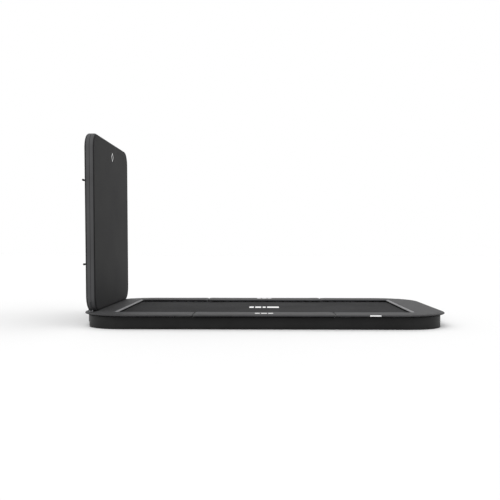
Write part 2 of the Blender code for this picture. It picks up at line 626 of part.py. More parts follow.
for side, sign in SIDES.items():
    tie_buckle(f"tie_buckle_{side}", sign)
    tie_lever(f"tie_lever_{side}", sign)
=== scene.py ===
# %% [markdown]
# # A flat-ground trampoline with an inflatable end wall
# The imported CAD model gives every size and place. This lesson dresses it: soft pads, a woven mat on steel
# springs, a black skirt, and a drop-stitch wall with its rear frame. Each step says what the piece is on the
# real object, and why it is made in this way.

# %% Load the frame
import math

import bmesh
import bpy
import numpy as np
from mathutils import Matrix, Vector


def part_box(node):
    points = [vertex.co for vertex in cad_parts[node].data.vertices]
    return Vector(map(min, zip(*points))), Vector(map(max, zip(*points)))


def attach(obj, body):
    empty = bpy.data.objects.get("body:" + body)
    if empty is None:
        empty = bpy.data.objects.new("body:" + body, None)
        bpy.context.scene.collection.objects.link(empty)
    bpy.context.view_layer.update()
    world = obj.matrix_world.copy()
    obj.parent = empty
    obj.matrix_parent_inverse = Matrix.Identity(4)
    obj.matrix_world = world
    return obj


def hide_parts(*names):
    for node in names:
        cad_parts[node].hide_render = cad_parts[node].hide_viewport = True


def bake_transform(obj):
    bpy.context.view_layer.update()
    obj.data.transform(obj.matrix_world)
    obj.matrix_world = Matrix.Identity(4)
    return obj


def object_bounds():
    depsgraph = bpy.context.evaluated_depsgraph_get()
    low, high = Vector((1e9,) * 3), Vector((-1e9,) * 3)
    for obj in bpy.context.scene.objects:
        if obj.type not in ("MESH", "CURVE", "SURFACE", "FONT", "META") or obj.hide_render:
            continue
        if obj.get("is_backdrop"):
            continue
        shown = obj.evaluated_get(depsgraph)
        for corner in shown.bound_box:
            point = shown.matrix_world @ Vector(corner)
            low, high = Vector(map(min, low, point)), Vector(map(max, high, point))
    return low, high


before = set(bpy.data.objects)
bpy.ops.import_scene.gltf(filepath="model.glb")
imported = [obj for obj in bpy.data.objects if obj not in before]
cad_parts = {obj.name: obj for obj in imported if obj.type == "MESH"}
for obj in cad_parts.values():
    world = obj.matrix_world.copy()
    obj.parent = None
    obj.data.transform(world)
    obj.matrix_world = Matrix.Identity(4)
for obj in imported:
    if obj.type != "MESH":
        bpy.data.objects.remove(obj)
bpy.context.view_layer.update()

LONG_SIDES = (("front", -1), ("back", 1))
SHORT_SIDES = (("left", -1), ("right", 1))

# %% [markdown]
# ## Camera, light and floor
# A white room is the simplest studio: the world is the soft light from all round, and one wide sun lamp from
# the front and above gives the light a direction. The lens looks across the bed from about 9 m, a little
# above the pads, so the long sides run nearly level.

# %% Camera
scene = bpy.context.scene
scene.view_settings.view_transform = "Standard"

SENSOR_WIDTH = 36.0
LENS = 52.7
CAMERA_PLACE = (0.013, -9.101, 0.938)
PITCH_DOWN = 0.0511
TURN_LEFT = 0.0208
SHIFT_UP = 0.061

bpy.ops.object.camera_add(location=CAMERA_PLACE, rotation=(math.pi / 2 - PITCH_DOWN, 0.0, TURN_LEFT))
camera = bpy.context.object
camera.data.sensor_width = SENSOR_WIDTH
camera.data.lens = LENS
camera.data.shift_y = SHIFT_UP
camera.data.clip_end = 200.0
scene.camera = camera
print("camera", camera.data.lens, "mm")


# %% One small function for material nodes
def add(tree, kind, links=(), values=(), **settings):
    """Adds one node, with its settings, its fixed input values and the outputs that feed it."""
    node = tree.nodes.new(kind)
    for name, value in settings.items():
        setattr(node, name, value)
    for socket, value in dict(values).items():
        node.inputs[socket].default_value = value
    for socket, output in dict(links).items():
        tree.links.new(output, node.inputs[socket])
    return node


def linear(hex_colour):
    """An sRGB hex colour as the linear RGBA that a shader takes."""
    channels = [int(hex_colour[i:i + 2], 16) / 255 for i in (0, 2, 4)]
    return (*[c / 12.92 if c <= 0.04045 else ((c + 0.055) / 1.055) ** 2.4 for c in channels], 1.0)


# %% Lamps and world
world = bpy.data.worlds.new("studio")
scene.world = world
world.use_nodes = True
world.node_tree.nodes["Background"].inputs["Color"].default_value = linear("FFFFFF")
world.node_tree.nodes["Background"].inputs["Strength"].default_value = 1.0


bpy.ops.object.light_add(type="SUN", location=(-2.0, -3.0, 6.0))
key_lamp = bpy.context.object
key_lamp.data.energy = 0.9
key_lamp.data.angle = math.radians(50)
key_lamp.rotation_euler = Vector((0.25, 0.55, -1.0)).to_track_quat("-Z", "Y").to_euler()
print("lamp", key_lamp.data.energy)

# %% [markdown]
# ## A floor with a pit
# Such a trampoline is let into the ground over a dug pit, and the mat dips into it when someone jumps. The
# studio floor has the same pit, hidden under the bed: a plane is cut by four bisect lines and its middle
# face is extruded down.


# %% Helpers for editing
def only(*pieces):
    """Select just these objects, with the last one active."""
    bpy.ops.object.select_all(action="DESELECT")
    for piece in pieces:
        piece.select_set(True)
    bpy.context.view_layer.objects.active = pieces[-1]


def named(name):
    """The object that an operator has just added, under its own name."""
    piece = bpy.context.object
    piece.name = name
    piece.data.name = name
    return piece


def settle(piece):
    """Put the piece's place, turn and scale into its mesh."""
    only(piece)
    bpy.ops.object.transform_apply(location=True, rotation=True, scale=True)
    return piece


def pick(piece, kind, test):
    """In edit mode, select the faces or edges that pass a test."""
    shape = bmesh.from_edit_mesh(piece.data)
    for element in (*shape.faces, *shape.edges, *shape.verts):
        element.select_set(False)
    chosen = [element for element in getattr(shape, kind) if test(element)]
    for element in chosen:
        element.select_set(True)
    bmesh.update_edit_mesh(piece.data)
    return len(chosen)


def edit(piece, mode="FACE"):
    """Enter edit mode on one piece."""
    only(piece)
    bpy.ops.object.mode_set(mode="EDIT")
    bpy.ops.mesh.select_mode(type=mode)


def leave():
    bpy.ops.object.mode_set(mode="OBJECT")


def take_all():
    bpy.ops.mesh.select_all(action="SELECT")


def weld():
    """In edit mode, merge the points that lie on one another."""
    take_all()
    bpy.ops.mesh.remove_doubles(threshold=0.00001)


def face_outward():
    """In edit mode, turn every face's normal outward and leave."""
    take_all()
    bpy.ops.mesh.normals_make_consistent(inside=False)
    leave()


def slice_at(place, normal):
    """In edit mode, cut the whole mesh along a plane."""
    take_all()
    bpy.ops.mesh.bisect(plane_co=place, plane_no=normal)


def finish_with(piece, kind, **settings):
    """Add one modifier and apply it at once."""
    only(piece)
    step = piece.modifiers.new(kind.lower(), kind)
    for name, value in settings.items():
        setattr(step, name, value)
    bpy.ops.object.modifier_apply(modifier=step.name)
    return piece


def middle_of(node):
    """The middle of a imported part's box."""
    low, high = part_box(node)
    return (low + high) / 2


def repeated(piece, count, step):
    """Array a piece by a fixed step."""
    return finish_with(piece, "ARRAY", count=count, use_relative_offset=False, use_constant_offset=True,
                       constant_offset_displace=step)


def rounded(piece, width, segments=2, **settings):
    """Bevel a piece's edges."""
    return finish_with(piece, "BEVEL", width=width, segments=segments, **settings)


def smooth(piece, degrees=35):
    only(piece)
    bpy.ops.object.shade_smooth_by_angle(angle=math.radians(degrees))
    return piece


def twin(piece, name, matrix):
    """A copy with a mesh of its own, moved by a matrix."""
    made = piece.copy()
    made.data = piece.data.copy()
    made.name = name
    made.data.name = name
    scene.collection.objects.link(made)
    made.data.transform(matrix)
    if matrix.determinant() < 0:
        made.data.flip_normals()
    return made


def joined(name, pieces):
    only(*pieces)
    bpy.ops.object.join()
    return named(name)


def aimed(place, direction):
    """The matrix that carries a shape's own Z to a direction, at a place."""
    turn = Vector(direction).to_track_quat("Z", "Y").to_matrix().to_4x4()
    return Matrix.Translation(place) @ turn


def turned(name, profile, matrix, sides=32):
    """A round part raised from a filled circle: each (radius, height) is one extrude and one scale."""
    radius, height = profile[0]
    bpy.ops.mesh.primitive_circle_add(vertices=sides, radius=radius, fill_type="NGON",
                                      location=(0, 0, height))
    piece = settle(named(name))
    edit(piece)
    take_all()
    for next_radius, next_height in profile[1:]:
        rise = (0.0, 0.0, next_height - height)
        bpy.ops.mesh.extrude_region_move(TRANSFORM_OT_translate={"value": rise})
        share = next_radius / radius
        bpy.ops.transform.resize(value=(share, share, 1.0))
        radius, height = next_radius, next_height
    face_outward()
    piece.data.transform(matrix)
    return smooth(piece)


def block(name, low, high):
    """A cuboid from corner to corner."""
    low, high = Vector(low), Vector(high)
    bpy.ops.mesh.primitive_cube_add(size=1.0, location=(low + high) / 2)
    piece = named(name)
    piece.scale = high - low
    return settle(piece)


def cut_away(piece, cutter, operation="DIFFERENCE"):
    """A Boolean, applied, with its cutter removed."""
    finish_with(piece, "BOOLEAN", operation=operation, object=cutter, solver="EXACT")
    bpy.data.objects.remove(cutter, do_unlink=True)
    return piece


def eased(node, name, width, segments=2):
    """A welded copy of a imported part, with its flat faces joined and its edges eased."""
    piece = bpy.data.objects.new(name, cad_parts[node].data.copy())
    piece.data.name = name
    scene.collection.objects.link(piece)
    only(piece)
    bpy.ops.mesh.customdata_custom_splitnormals_clear()
    edit(piece, "VERT")
    weld()
    bpy.ops.mesh.dissolve_limited(angle_limit=math.radians(1))
    leave()
    finish_with(piece, "BEVEL", width=width, segments=segments, limit_method="ANGLE",
                angle_limit=math.radians(35))
    return smooth(piece)


def wire(name, points, radius, sides=2, closed=False):
    """A bent wire through points, made a mesh."""
    data = bpy.data.curves.new(name, "CURVE")
    data.dimensions = "3D"
    data.bevel_depth = radius
    data.bevel_resolution = sides
    data.use_fill_caps = True
    line = data.splines.new("POLY")
    line.points.add(len(points) - 1)
    for point, spot in zip(line.points, points):
        point.co = (*spot, 1.0)
    line.use_cyclic_u = closed
    piece = bpy.data.objects.new(name, data)
    scene.collection.objects.link(piece)
    only(piece)
    bpy.ops.object.convert(target="MESH")
    edit(piece, "VERT")
    weld()
    face_outward()
    return smooth(piece, 50)


def around(centre_a, centre_b, radius, start, end, steps):
    """Points of an arc in a plane, angles in degrees."""
    turns = [math.radians(start + (end - start) * i / steps) for i in range(steps + 1)]
    return [(centre_a + radius * math.cos(t), centre_b + radius * math.sin(t)) for t in turns]


STITCH_LENGTH = 0.0065
STITCH_WIDTH = 0.0016
STITCH_GAP = 0.003


def stitches(name, start, end, up):
    """A row of thread stitches from one point to another on a surface that faces up this way."""
    start, end, up = Vector(start), Vector(end), Vector(up)
    run = end - start
    count = max(2, round(run.length / (STITCH_LENGTH + STITCH_GAP)))
    bpy.ops.mesh.primitive_cylinder_add(vertices=6, radius=STITCH_WIDTH / 2, depth=STITCH_LENGTH,
                                        rotation=(0, math.pi / 2, 0), location=(STITCH_LENGTH / 2, 0, 0))
    row = settle(named(name))
    repeated(row, count, (run.length / count, 0.0, 0.0))
    along = run.normalized()
    side = up.cross(along)
    turn = Matrix((along, side, up)).transposed().to_4x4()
    row.data.transform(Matrix.Translation(start) @ turn)
    return smooth(row, 70)


PAINT = {}


def dress(piece, paint, body, stands_for=()):
    """Give a finished piece its material, its body and the CAD nodes that it stands for."""
    if paint:
        piece.data.materials.clear()
        piece.data.materials.append(PAINT[paint])
    if body:
        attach(piece, body)
    if stands_for:
        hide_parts(*stands_for)
    return piece


# %% The floor
PIT_HALF_LENGTH = 1.86
PIT_HALF_WIDTH = 1.06
PIT_DEPTH = 0.62
FLOOR_DROP = 0.0006

bpy.ops.mesh.primitive_plane_add(size=90.0, location=(0.0, 0.0, -FLOOR_DROP))
floor = named("studio_floor")
edit(floor)
for normal, reach in (((1, 0, 0), PIT_HALF_LENGTH), ((-1, 0, 0), PIT_HALF_LENGTH),
                      ((0, 1, 0), PIT_HALF_WIDTH), ((0, -1, 0), PIT_HALF_WIDTH)):
    slice_at(Vector(normal) * reach, normal)
pick(floor, "faces", lambda f: max(abs(f.calc_center_median().x), abs(f.calc_center_median().y)) < 0.01)
bpy.ops.mesh.extrude_region_move(TRANSFORM_OT_translate={"value": (0.0, 0.0, -PIT_DEPTH)})
leave()
settle(floor)
matte_floor = bpy.data.materials.new("matte_white_floor_paint")
matte_floor.use_nodes = True
floor_shader = matte_floor.node_tree.nodes["Principled BSDF"]
floor_shader.inputs["Base Color"].default_value = linear("E9E9E9")
floor_shader.inputs["Roughness"].default_value = 0.9
floor_shader.inputs["Specular IOR Level"].default_value = 0.1
floor.data.materials.append(matte_floor)
floor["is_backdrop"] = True
print("floor faces", len(floor.data.polygons))

# %% [markdown]
# ## Materials
# Every finish starts from what the real one is: coated tarpaulin on the pads, woven polypropylene on the
# bed, drop-stitch PVC on the wall, moulded polyethylene on the skirt, galvanised and zinc-plated steel below.
# Patterns read Object coordinates, and every piece sits at the origin, so a pattern stays on its piece.
# A Wave texture's bands repeat every 0.314 m at scale 1, so a thread spacing sets its scale.

# %% Material base
WAVE_LENGTH = math.pi / 10


def new_material(name, roughness, metallic=0.0, specular=0.5, sheen=0.0):
    """A Principled material with its even values on the shader's own sockets, and its Object coordinates."""
    made = bpy.data.materials.new(name)
    made.use_nodes = True
    tree = made.node_tree
    shader = tree.nodes["Principled BSDF"]
    shader.inputs["Roughness"].default_value = roughness
    shader.inputs["Metallic"].default_value = metallic
    shader.inputs["Specular IOR Level"].default_value = specular
    shader.inputs["Sheen Weight"].default_value = sheen
    PAINT[name] = made
    return tree, shader, add(tree, "ShaderNodeTexCoord").outputs["Object"]


def mottled(tree, shader, place, dark, light, size, spread=0.12):
    """Colour that drifts between two close tones in patches of about this size."""
    clouds = add(tree, "ShaderNodeTexNoise", {"Vector": place}, {"Scale": 1.0 / size, "Detail": 4.0})
    ramp = add(tree, "ShaderNodeValToRGB", {"Fac": clouds.outputs["Fac"]})
    ramp.color_ramp.elements[0].position = 0.5 - spread
    ramp.color_ramp.elements[0].color = linear(dark)
    ramp.color_ramp.elements[1].position = 0.5 + spread
    ramp.color_ramp.elements[1].color = linear(light)
    tree.links.new(ramp.outputs["Color"], shader.inputs["Base Color"])
    return clouds, ramp


def rough_between(tree, shader, factor, low, high):
    """Roughness that follows a pattern between two values."""
    spread = add(tree, "ShaderNodeMapRange", {"Value": factor}, {"To Min": low, "To Max": high})
    tree.links.new(spread.outputs["Result"], shader.inputs["Roughness"])


def raised(tree, shader, height, depth, strength=0.6, under=None):
    """Bump from a height pattern, in real metres, over any bump already there."""
    bump = add(tree, "ShaderNodeBump", {"Height": height}, {"Distance": depth, "Strength": strength})
    if under:
        tree.links.new(under.outputs["Normal"], bump.inputs["Normal"])
    tree.links.new(bump.outputs["Normal"], shader.inputs["Normal"])
    return bump


def threads(tree, place, spacing):
    """A plain weave's height: bands both ways, each thread this far from the next."""
    across = add(tree, "ShaderNodeTexWave", {"Vector": place}, {"Scale": WAVE_LENGTH / spacing},
                 bands_direction="X")
    along = add(tree, "ShaderNodeTexWave", {"Vector": place}, {"Scale": WAVE_LENGTH / spacing},
                bands_direction="Y")
    return add(tree, "ShaderNodeMath", {0: across.outputs["Fac"], 1: along.outputs["Fac"]},
               operation="MAXIMUM").outputs[0]


# %% Tarpaulin of the pads
# PVC-coated polyester, calendered: even grey with a faint sheen, soft creases a hand wide and a fine scrim.
# The scrim's real threads are 1 mm apart; they are drawn 5 mm apart so that a close view shows them.
SCRIM_SPACING = 0.005
CREASE_SIZE = 0.14
FOLD_SIZE = 0.035


def tarpaulin(name, dark, light, roughness, specular=0.3):
    tree, shader, place = new_material(name, roughness, specular=specular)
    clouds, _ = mottled(tree, shader, place, dark, light, 0.25)
    rough_between(tree, shader, clouds.outputs["Fac"], roughness - 0.08, roughness + 0.08)
    creases = add(tree, "ShaderNodeTexNoise", {"Vector": place},
                  {"Scale": 1.0 / CREASE_SIZE, "Detail": 2.0, "Distortion": 0.6})
    soft = raised(tree, shader, creases.outputs["Fac"], 0.006, 0.5)
    folds = add(tree, "ShaderNodeTexNoise", {"Vector": place},
                {"Scale": 1.0 / FOLD_SIZE, "Detail": 3.0, "Distortion": 1.5})
    sharp = raised(tree, shader, folds.outputs["Fac"], 0.0015, 0.4, soft)
    raised(tree, shader, threads(tree, place, SCRIM_SPACING), 0.0005, 0.5, sharp)


tarpaulin("calendered_tarpaulin_grey", "353536", "3D3D3E", 0.62, 0.22)
# The pale copy is painted highlight: it stands for the light caught by the rounded inner edges of the end
# pads.
tarpaulin("painted_highlight_tarpaulin_pale", "727274", "7E7E80", 0.5)
tarpaulin("calendered_tarpaulin_black", "141415", "1B1B1D", 0.6, 0.2)

# %% Woven bed
# Polypropylene yarn woven and heat-set: dull, near black threads with light catching on each. The real mesh
# is about 1.5 mm; it is drawn at 9 mm, which is as fine as the view can hold.
BED_SPACING = 0.009
tree, shader, place = new_material("woven_polypropylene_bed", 0.8, specular=0.1)
clouds, ramp = mottled(tree, shader, place, "232324", "2B2B2C", 0.6)
weave = threads(tree, place, BED_SPACING)
darker = add(tree, "ShaderNodeMix", data_type="RGBA", blend_type="MULTIPLY")
darker.inputs["Factor"].default_value = 0.35
tree.links.new(ramp.outputs["Color"], darker.inputs[6])
grey = add(tree, "ShaderNodeMapRange", {"Value": weave}, {"To Min": 0.55, "To Max": 1.0})
tree.links.new(grey.outputs["Result"], darker.inputs[7])
tree.links.new(darker.outputs[2], shader.inputs["Base Color"])
raised(tree, shader, weave, 0.0008, 0.6)

# %% Webbing
# Nylon woven into a tight band: ribs 2.5 mm apart across it, matt, a little fibre sheen at the edges.
RIB_SPACING = 0.0025
tree, shader, place = new_material("woven_nylon_webbing", 0.85, sheen=0.2)
mottled(tree, shader, place, "1A1A1C", "242427", 0.03)
raised(tree, shader, threads(tree, place, RIB_SPACING), 0.0006, 0.8)

# %% Moulded plastics
# Black polyethylene with a fine spark-eroded grain, scuffed a little paler along the skirt; and harder nylon
# for knobs, caps and levers.
GRAIN_SIZE = 0.0035


def moulded(name, dark, light, roughness, patch, specular=0.5):
    tree, shader, place = new_material(name, roughness, specular=specular)
    clouds, _ = mottled(tree, shader, place, dark, light, patch)
    rough_between(tree, shader, clouds.outputs["Fac"], roughness - 0.1, roughness + 0.1)
    grain = add(tree, "ShaderNodeTexNoise", {"Vector": place}, {"Scale": 1.0 / GRAIN_SIZE, "Detail": 3.0})
    raised(tree, shader, grain.outputs["Fac"], 0.0004, 0.35)


moulded("moulded_polyethylene_black", "171717", "1D1D1D", 0.55, 0.3, 0.2)
moulded("moulded_nylon_black", "121214", "1B1B1D", 0.4, 0.02)

# %% Wall skins
# Drop-stitch PVC: thousands of threads hold two skins parallel, and each leaves a tiny dimple. The dimples'
# real spacing is 6 mm; they are drawn 12 mm apart. The face skin is matt charcoal; the side tapes' paler grey
# is painted highlight, standing for the light on the side's bulge and round front edge.
DIMPLE_SPACING = 0.012


def drop_stitch(name, dark, light, roughness, dimple_depth):
    tree, shader, place = new_material(name, roughness, specular=0.15)
    clouds, _ = mottled(tree, shader, place, dark, light, 0.5)
    rough_between(tree, shader, clouds.outputs["Fac"], roughness - 0.07, roughness + 0.07)
    dimples = add(tree, "ShaderNodeTexVoronoi", {"Vector": place}, {"Scale": 1.0 / DIMPLE_SPACING,
                                                                  "Randomness": 0.35})
    fine = add(tree, "ShaderNodeTexNoise", {"Vector": place}, {"Scale": 350.0, "Detail": 2.0})
    grain = raised(tree, shader, fine.outputs["Fac"], 0.0002, 0.3)
    raised(tree, shader, dimples.outputs["Distance"], dimple_depth, 0.35, grain)


drop_stitch("drop_stitch_pvc_charcoal", "191919", "1D1D1E", 0.7, 0.0008)
# The tapes' paler grey is painted highlight for the light on the wall side's bulge and round front edge.
drop_stitch("side_tape_painted_highlight_grey", "434344", "4B4B4C", 0.58, 0.0)
drop_stitch("welded_pvc_tape_dark", "1F1F20", "252526", 0.6, 0.0)

# %% Metals
# Hot-dip galvanised tube shows zinc spangle, flat crystals about 12 mm across; spring wire is drawn and
# bright zinc-plated; the wall's rear tubes are powder-coated black, with a faint orange peel.
SPANGLE_SIZE = 0.012


def metal(name, dark, light, roughness, cell, strength, metallic=1.0):
    tree, shader, place = new_material(name, roughness, metallic=metallic)
    cells = add(tree, "ShaderNodeTexVoronoi", {"Vector": place}, {"Scale": 1.0 / cell, "Randomness": 1.0})
    tone = add(tree, "ShaderNodeSeparateColor", {"Color": cells.outputs["Color"]})
    ramp = add(tree, "ShaderNodeValToRGB", {"Fac": tone.outputs["Red"]})
    ramp.color_ramp.elements[0].color = linear(dark)
    ramp.color_ramp.elements[1].color = linear(light)
    tree.links.new(ramp.outputs["Color"], shader.inputs["Base Color"])
    rough_between(tree, shader, tone.outputs["Green"], roughness - 0.08, roughness + 0.1)
    raised(tree, shader, cells.outputs["Distance"], 0.0002, strength)


metal("hot_dip_galvanised_steel", "8C8E90", "B0B2B4", 0.38, SPANGLE_SIZE, 0.2)
metal("zinc_plated_spring_wire", "A8AAAD", "C4C6C8", 0.25, 0.004, 0.1)
metal("powder_coated_steel_black", "161618", "1C1C1E", 0.42, 0.0025, 0.4, metallic=0.0)

# %% Print, thread and rubber
# Screen-printed white ink is chalky with a slight wear; polyester thread is a dull mid grey; EPDM rubber is
# dull and even.
moulded("screen_print_white", "E2E2E2", "F0F0F0", 0.6, 0.05)
moulded("polyester_thread_grey", "4A4A4C", "5C5C5E", 0.7, 0.01)
moulded("epdm_rubber_black", "151515", "1D1D1D", 0.8, 0.05)
print("materials", len(PAINT))

# %% [markdown]
# ## Bed sizes
# The CAD bed is one flat plate on a slide. The real mat dips to a bowl and its springs stretch; here each bed
# piece only has its place baked into its mesh, so the bed stays flat.

# %% Bed sizes
mat_low, mat_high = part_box("jump_mat")
MAT_HALF_LENGTH = mat_high.x
MAT_HALF_WIDTH = mat_high.y
MAT_TOP = mat_high.z
MAT_THICKNESS = mat_high.z - mat_low.z
strip_low, strip_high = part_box("springs_front")
SPRING_OUTER_Y = -strip_low.y
SPRING_OUTER_X = -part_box("springs_left")[0].x


def dip_with_bed(piece):
    """Put a finished piece's place into its mesh; the piece stays flat."""
    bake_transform(piece)
    return piece


# %% [markdown]
# ## The jumping mat
# One sheet of woven mesh, stretched flat by the springs and hemmed with webbing. A grid primitive gives it
# evenly spaced points, and Solidify gives it its thickness.

# %% Mat and hem
CELL = 0.036


def bed_grid(name, top):
    """A grid over the whole mat with cells of about the same size both ways."""
    columns = round(2 * MAT_HALF_LENGTH / CELL)
    rows = round(2 * MAT_HALF_WIDTH / CELL)
    bpy.ops.mesh.primitive_grid_add(x_subdivisions=columns, y_subdivisions=rows, size=1.0,
                                    location=(0, 0, top))
    piece = named(name)
    piece.scale = (2 * MAT_HALF_LENGTH, 2 * MAT_HALF_WIDTH, 1.0)
    return settle(piece)


mat = bed_grid("jumping_mat", MAT_TOP)
finish_with(mat, "SOLIDIFY", thickness=MAT_THICKNESS, offset=-1.0)
dress(mat, "woven_polypropylene_bed", None, ["jump_mat"])
dip_with_bed(mat)

HEM_THICKNESS = 0.003
hem = bed_grid("mat_webbing_hem", mat_low.z - 0.0004)
edit(hem)
hem_cells = 1.5 * CELL
pick(hem, "faces", lambda f: (abs(f.calc_center_median().x) < MAT_HALF_LENGTH - hem_cells
                              and abs(f.calc_center_median().y) < MAT_HALF_WIDTH - hem_cells))
bpy.ops.mesh.delete(type="FACE")
leave()
finish_with(hem, "SOLIDIFY", thickness=HEM_THICKNESS, offset=-1.0)
dress(hem, "woven_nylon_webbing", None, ["mat_webbing_front", "mat_webbing_back",
                                                     "mat_webbing_left", "mat_webbing_right"])
dip_with_bed(hem)
print("mat", len(mat.data.polygons), "hem", len(hem.data.polygons))

# %% [markdown]
# ## Springs
# An extension spring is drawn wire wound close, with a hook at each end: one in a hole of the strip on the
# rail, the other in a triangle ring sewn into the hem. One spring is made by turning a small circle up a
# Screw modifier, its hooks and its ring are bent wires, and an Array lays out the row.

# %% One spring
COIL_RADIUS = 0.0085
WIRE_RADIUS = 0.0016
COIL_TURNS = 23
HOOK_LENGTH = 0.016
HOOK_RADIUS = 0.005
RING_REACH = 0.012
RING_WIRE = 0.0018
SPRING_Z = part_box("springs_front")[1].z - 0.010
SPRING_PITCH = 0.104
STRIP_THICKNESS = 0.004


def one_spring(length):
    """A spring along +X from 0, at height 0, with its outer end at `length` and its ring before 0."""
    body = length - 2 * HOOK_LENGTH
    bpy.ops.mesh.primitive_circle_add(vertices=5, radius=WIRE_RADIUS, location=(COIL_RADIUS, 0, 0),
                                      rotation=(math.pi / 2, 0, 0))
    coil = settle(named("coil"))
    finish_with(coil, "SCREW", angle=2 * math.pi * COIL_TURNS, screw_offset=body, steps=COIL_TURNS * 7,
                render_steps=COIL_TURNS * 7, use_normal_calculate=True)
    coil.rotation_euler = (0, math.pi / 2, 0)
    coil.location = (HOOK_LENGTH, 0, 0)
    smooth(settle(coil), 60)
    inner_hook = [(HOOK_LENGTH, 0.0, -COIL_RADIUS), (HOOK_LENGTH - 0.003, 0.0, -COIL_RADIUS * 0.4)]
    inner_hook += [(x, 0.0, z) for x, z in around(HOOK_RADIUS + 0.001, 0.0, HOOK_RADIUS, 300, 60, 5)]
    outer_hook = [(length - x, y, -z) for x, y, z in inner_hook]
    ring = [(0.001, -0.004, 0.0), (0.001, 0.004, 0.0), (-RING_REACH - 0.005, 0.014, 0.0075),
            (-RING_REACH - 0.005, -0.014, 0.0075)]
    pieces = [coil, wire("hook_a", inner_hook, WIRE_RADIUS, 1), wire("hook_b", outer_hook, WIRE_RADIUS, 1),
              wire("ring", ring, RING_WIRE, 1, closed=True)]
    return joined("spring", pieces)


# %% Rows of springs and their tabs
TAB_LENGTH = 0.030
TAB_HALF_WIDTH = 0.012
TAB_BOTTOM = 0.0035
TAB_TOP = 0.0070


def laid_out(piece, turn_degrees, edge, count):
    """Array one shape along its side of the bed, then turn it to that side."""
    first = -(count - 1) / 2 * SPRING_PITCH
    piece.data.transform(Matrix.Translation((edge + RING_REACH, first, SPRING_Z)))
    repeated(piece, count, (0.0, SPRING_PITCH, 0.0))
    piece.data.transform(Matrix.Rotation(math.radians(turn_degrees), 4, "Z"))
    return piece


def spring_row(side, turn_degrees, edge, outer, count):
    """One side's springs with their rings, and the webbing tabs that hold the rings to the hem."""
    row = one_spring(outer + 0.001 - edge - RING_REACH)
    row.name = f"spring_row_{side}"
    row.data.name = row.name
    laid_out(row, turn_degrees, edge, count)
    dress(row, "zinc_plated_spring_wire", None, [f"springs_{side}"])
    dip_with_bed(row)
    tab = block(f"ring_tabs_{side}", (-RING_REACH - TAB_LENGTH, -TAB_HALF_WIDTH, TAB_BOTTOM),
                (-RING_REACH - 0.002, TAB_HALF_WIDTH, TAB_TOP))
    rounded(tab, 0.001)
    laid_out(tab, turn_degrees, edge, count)
    dip_with_bed(dress(smooth(tab), "woven_nylon_webbing", None))
    return row


LONG_COUNT = 32
SHORT_COUNT = 17
spring_row("right", 0, MAT_HALF_LENGTH, SPRING_OUTER_X, SHORT_COUNT)
spring_row("left", 180, MAT_HALF_LENGTH, SPRING_OUTER_X, SHORT_COUNT)
spring_row("back", 90, MAT_HALF_WIDTH, SPRING_OUTER_Y, LONG_COUNT)
springs = spring_row("front", 270, MAT_HALF_WIDTH, SPRING_OUTER_Y, LONG_COUNT)
print("front springs", len(springs.data.polygons), "faces")

# %% [markdown]
# ## Hook strips
# Each rail carries a flat steel bar with a punched hole for every spring, held off the tube by short welded
# tabs. The holes are cut by a Boolean with an arrayed row of cylinders, which is one cut for the whole bar.

# %% Four drilled bars
STRIP_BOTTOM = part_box("springs_front")[0].z
STRIP_TOP = SPRING_Z + 0.009
HOLE_RADIUS = 0.0065
LONG_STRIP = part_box("springs_front")[1].x
SHORT_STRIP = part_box("springs_right")[1].y
TAB_SPACING = 4


def hook_strip(side, turn_degrees, outer, half_length, count):
    """A drilled bar on its welded tabs, made on the right and turned to its side."""
    bar = block(f"hook_strip_{side}", (outer - STRIP_THICKNESS, -half_length, STRIP_BOTTOM),
                (outer, half_length, STRIP_TOP))
    first = -(count - 1) / 2 * SPRING_PITCH
    bpy.ops.mesh.primitive_cylinder_add(vertices=14, radius=HOLE_RADIUS, depth=0.02,
                                        location=(outer, first, SPRING_Z), rotation=(0, math.pi / 2, 0))
    drill = settle(named("drill"))
    repeated(drill, count, (0.0, SPRING_PITCH, 0.0))
    cut_away(bar, drill)
    tab = block("tab", (outer - 0.0005, first + SPRING_PITCH / 2 - 0.015, SPRING_Z - 0.019),
                (outer + 0.0055, first + SPRING_PITCH / 2 + 0.015, SPRING_Z - 0.009))
    rounded(tab, 0.0012)
    repeated(tab, (count - 2) // TAB_SPACING + 1, (0.0, SPRING_PITCH * TAB_SPACING, 0.0))
    strip = joined(f"hook_strip_{side}", [tab, bar])
    strip.data.transform(Matrix.Rotation(math.radians(turn_degrees), 4, "Z"))
    return dress(smooth(strip), "hot_dip_galvanised_steel", "base")


hook_strip("right", 0, SPRING_OUTER_X, SHORT_STRIP, SHORT_COUNT)
hook_strip("left", 180, SPRING_OUTER_X, SHORT_STRIP, SHORT_COUNT)
hook_strip("back", 90, SPRING_OUTER_Y, LONG_STRIP, LONG_COUNT)
hook_strip("front", 270, SPRING_OUTER_Y, LONG_STRIP, LONG_COUNT)

# %% [markdown]
# ## Tube frame
# Galvanised tube, 50 mm across: a U at each short end, and a straight rail between on each long side. A wire
# through the corner arcs, given a round bevel, bends as such tube does. Sleeves with two bolts cover the
# joints, and six feet carry the rails.

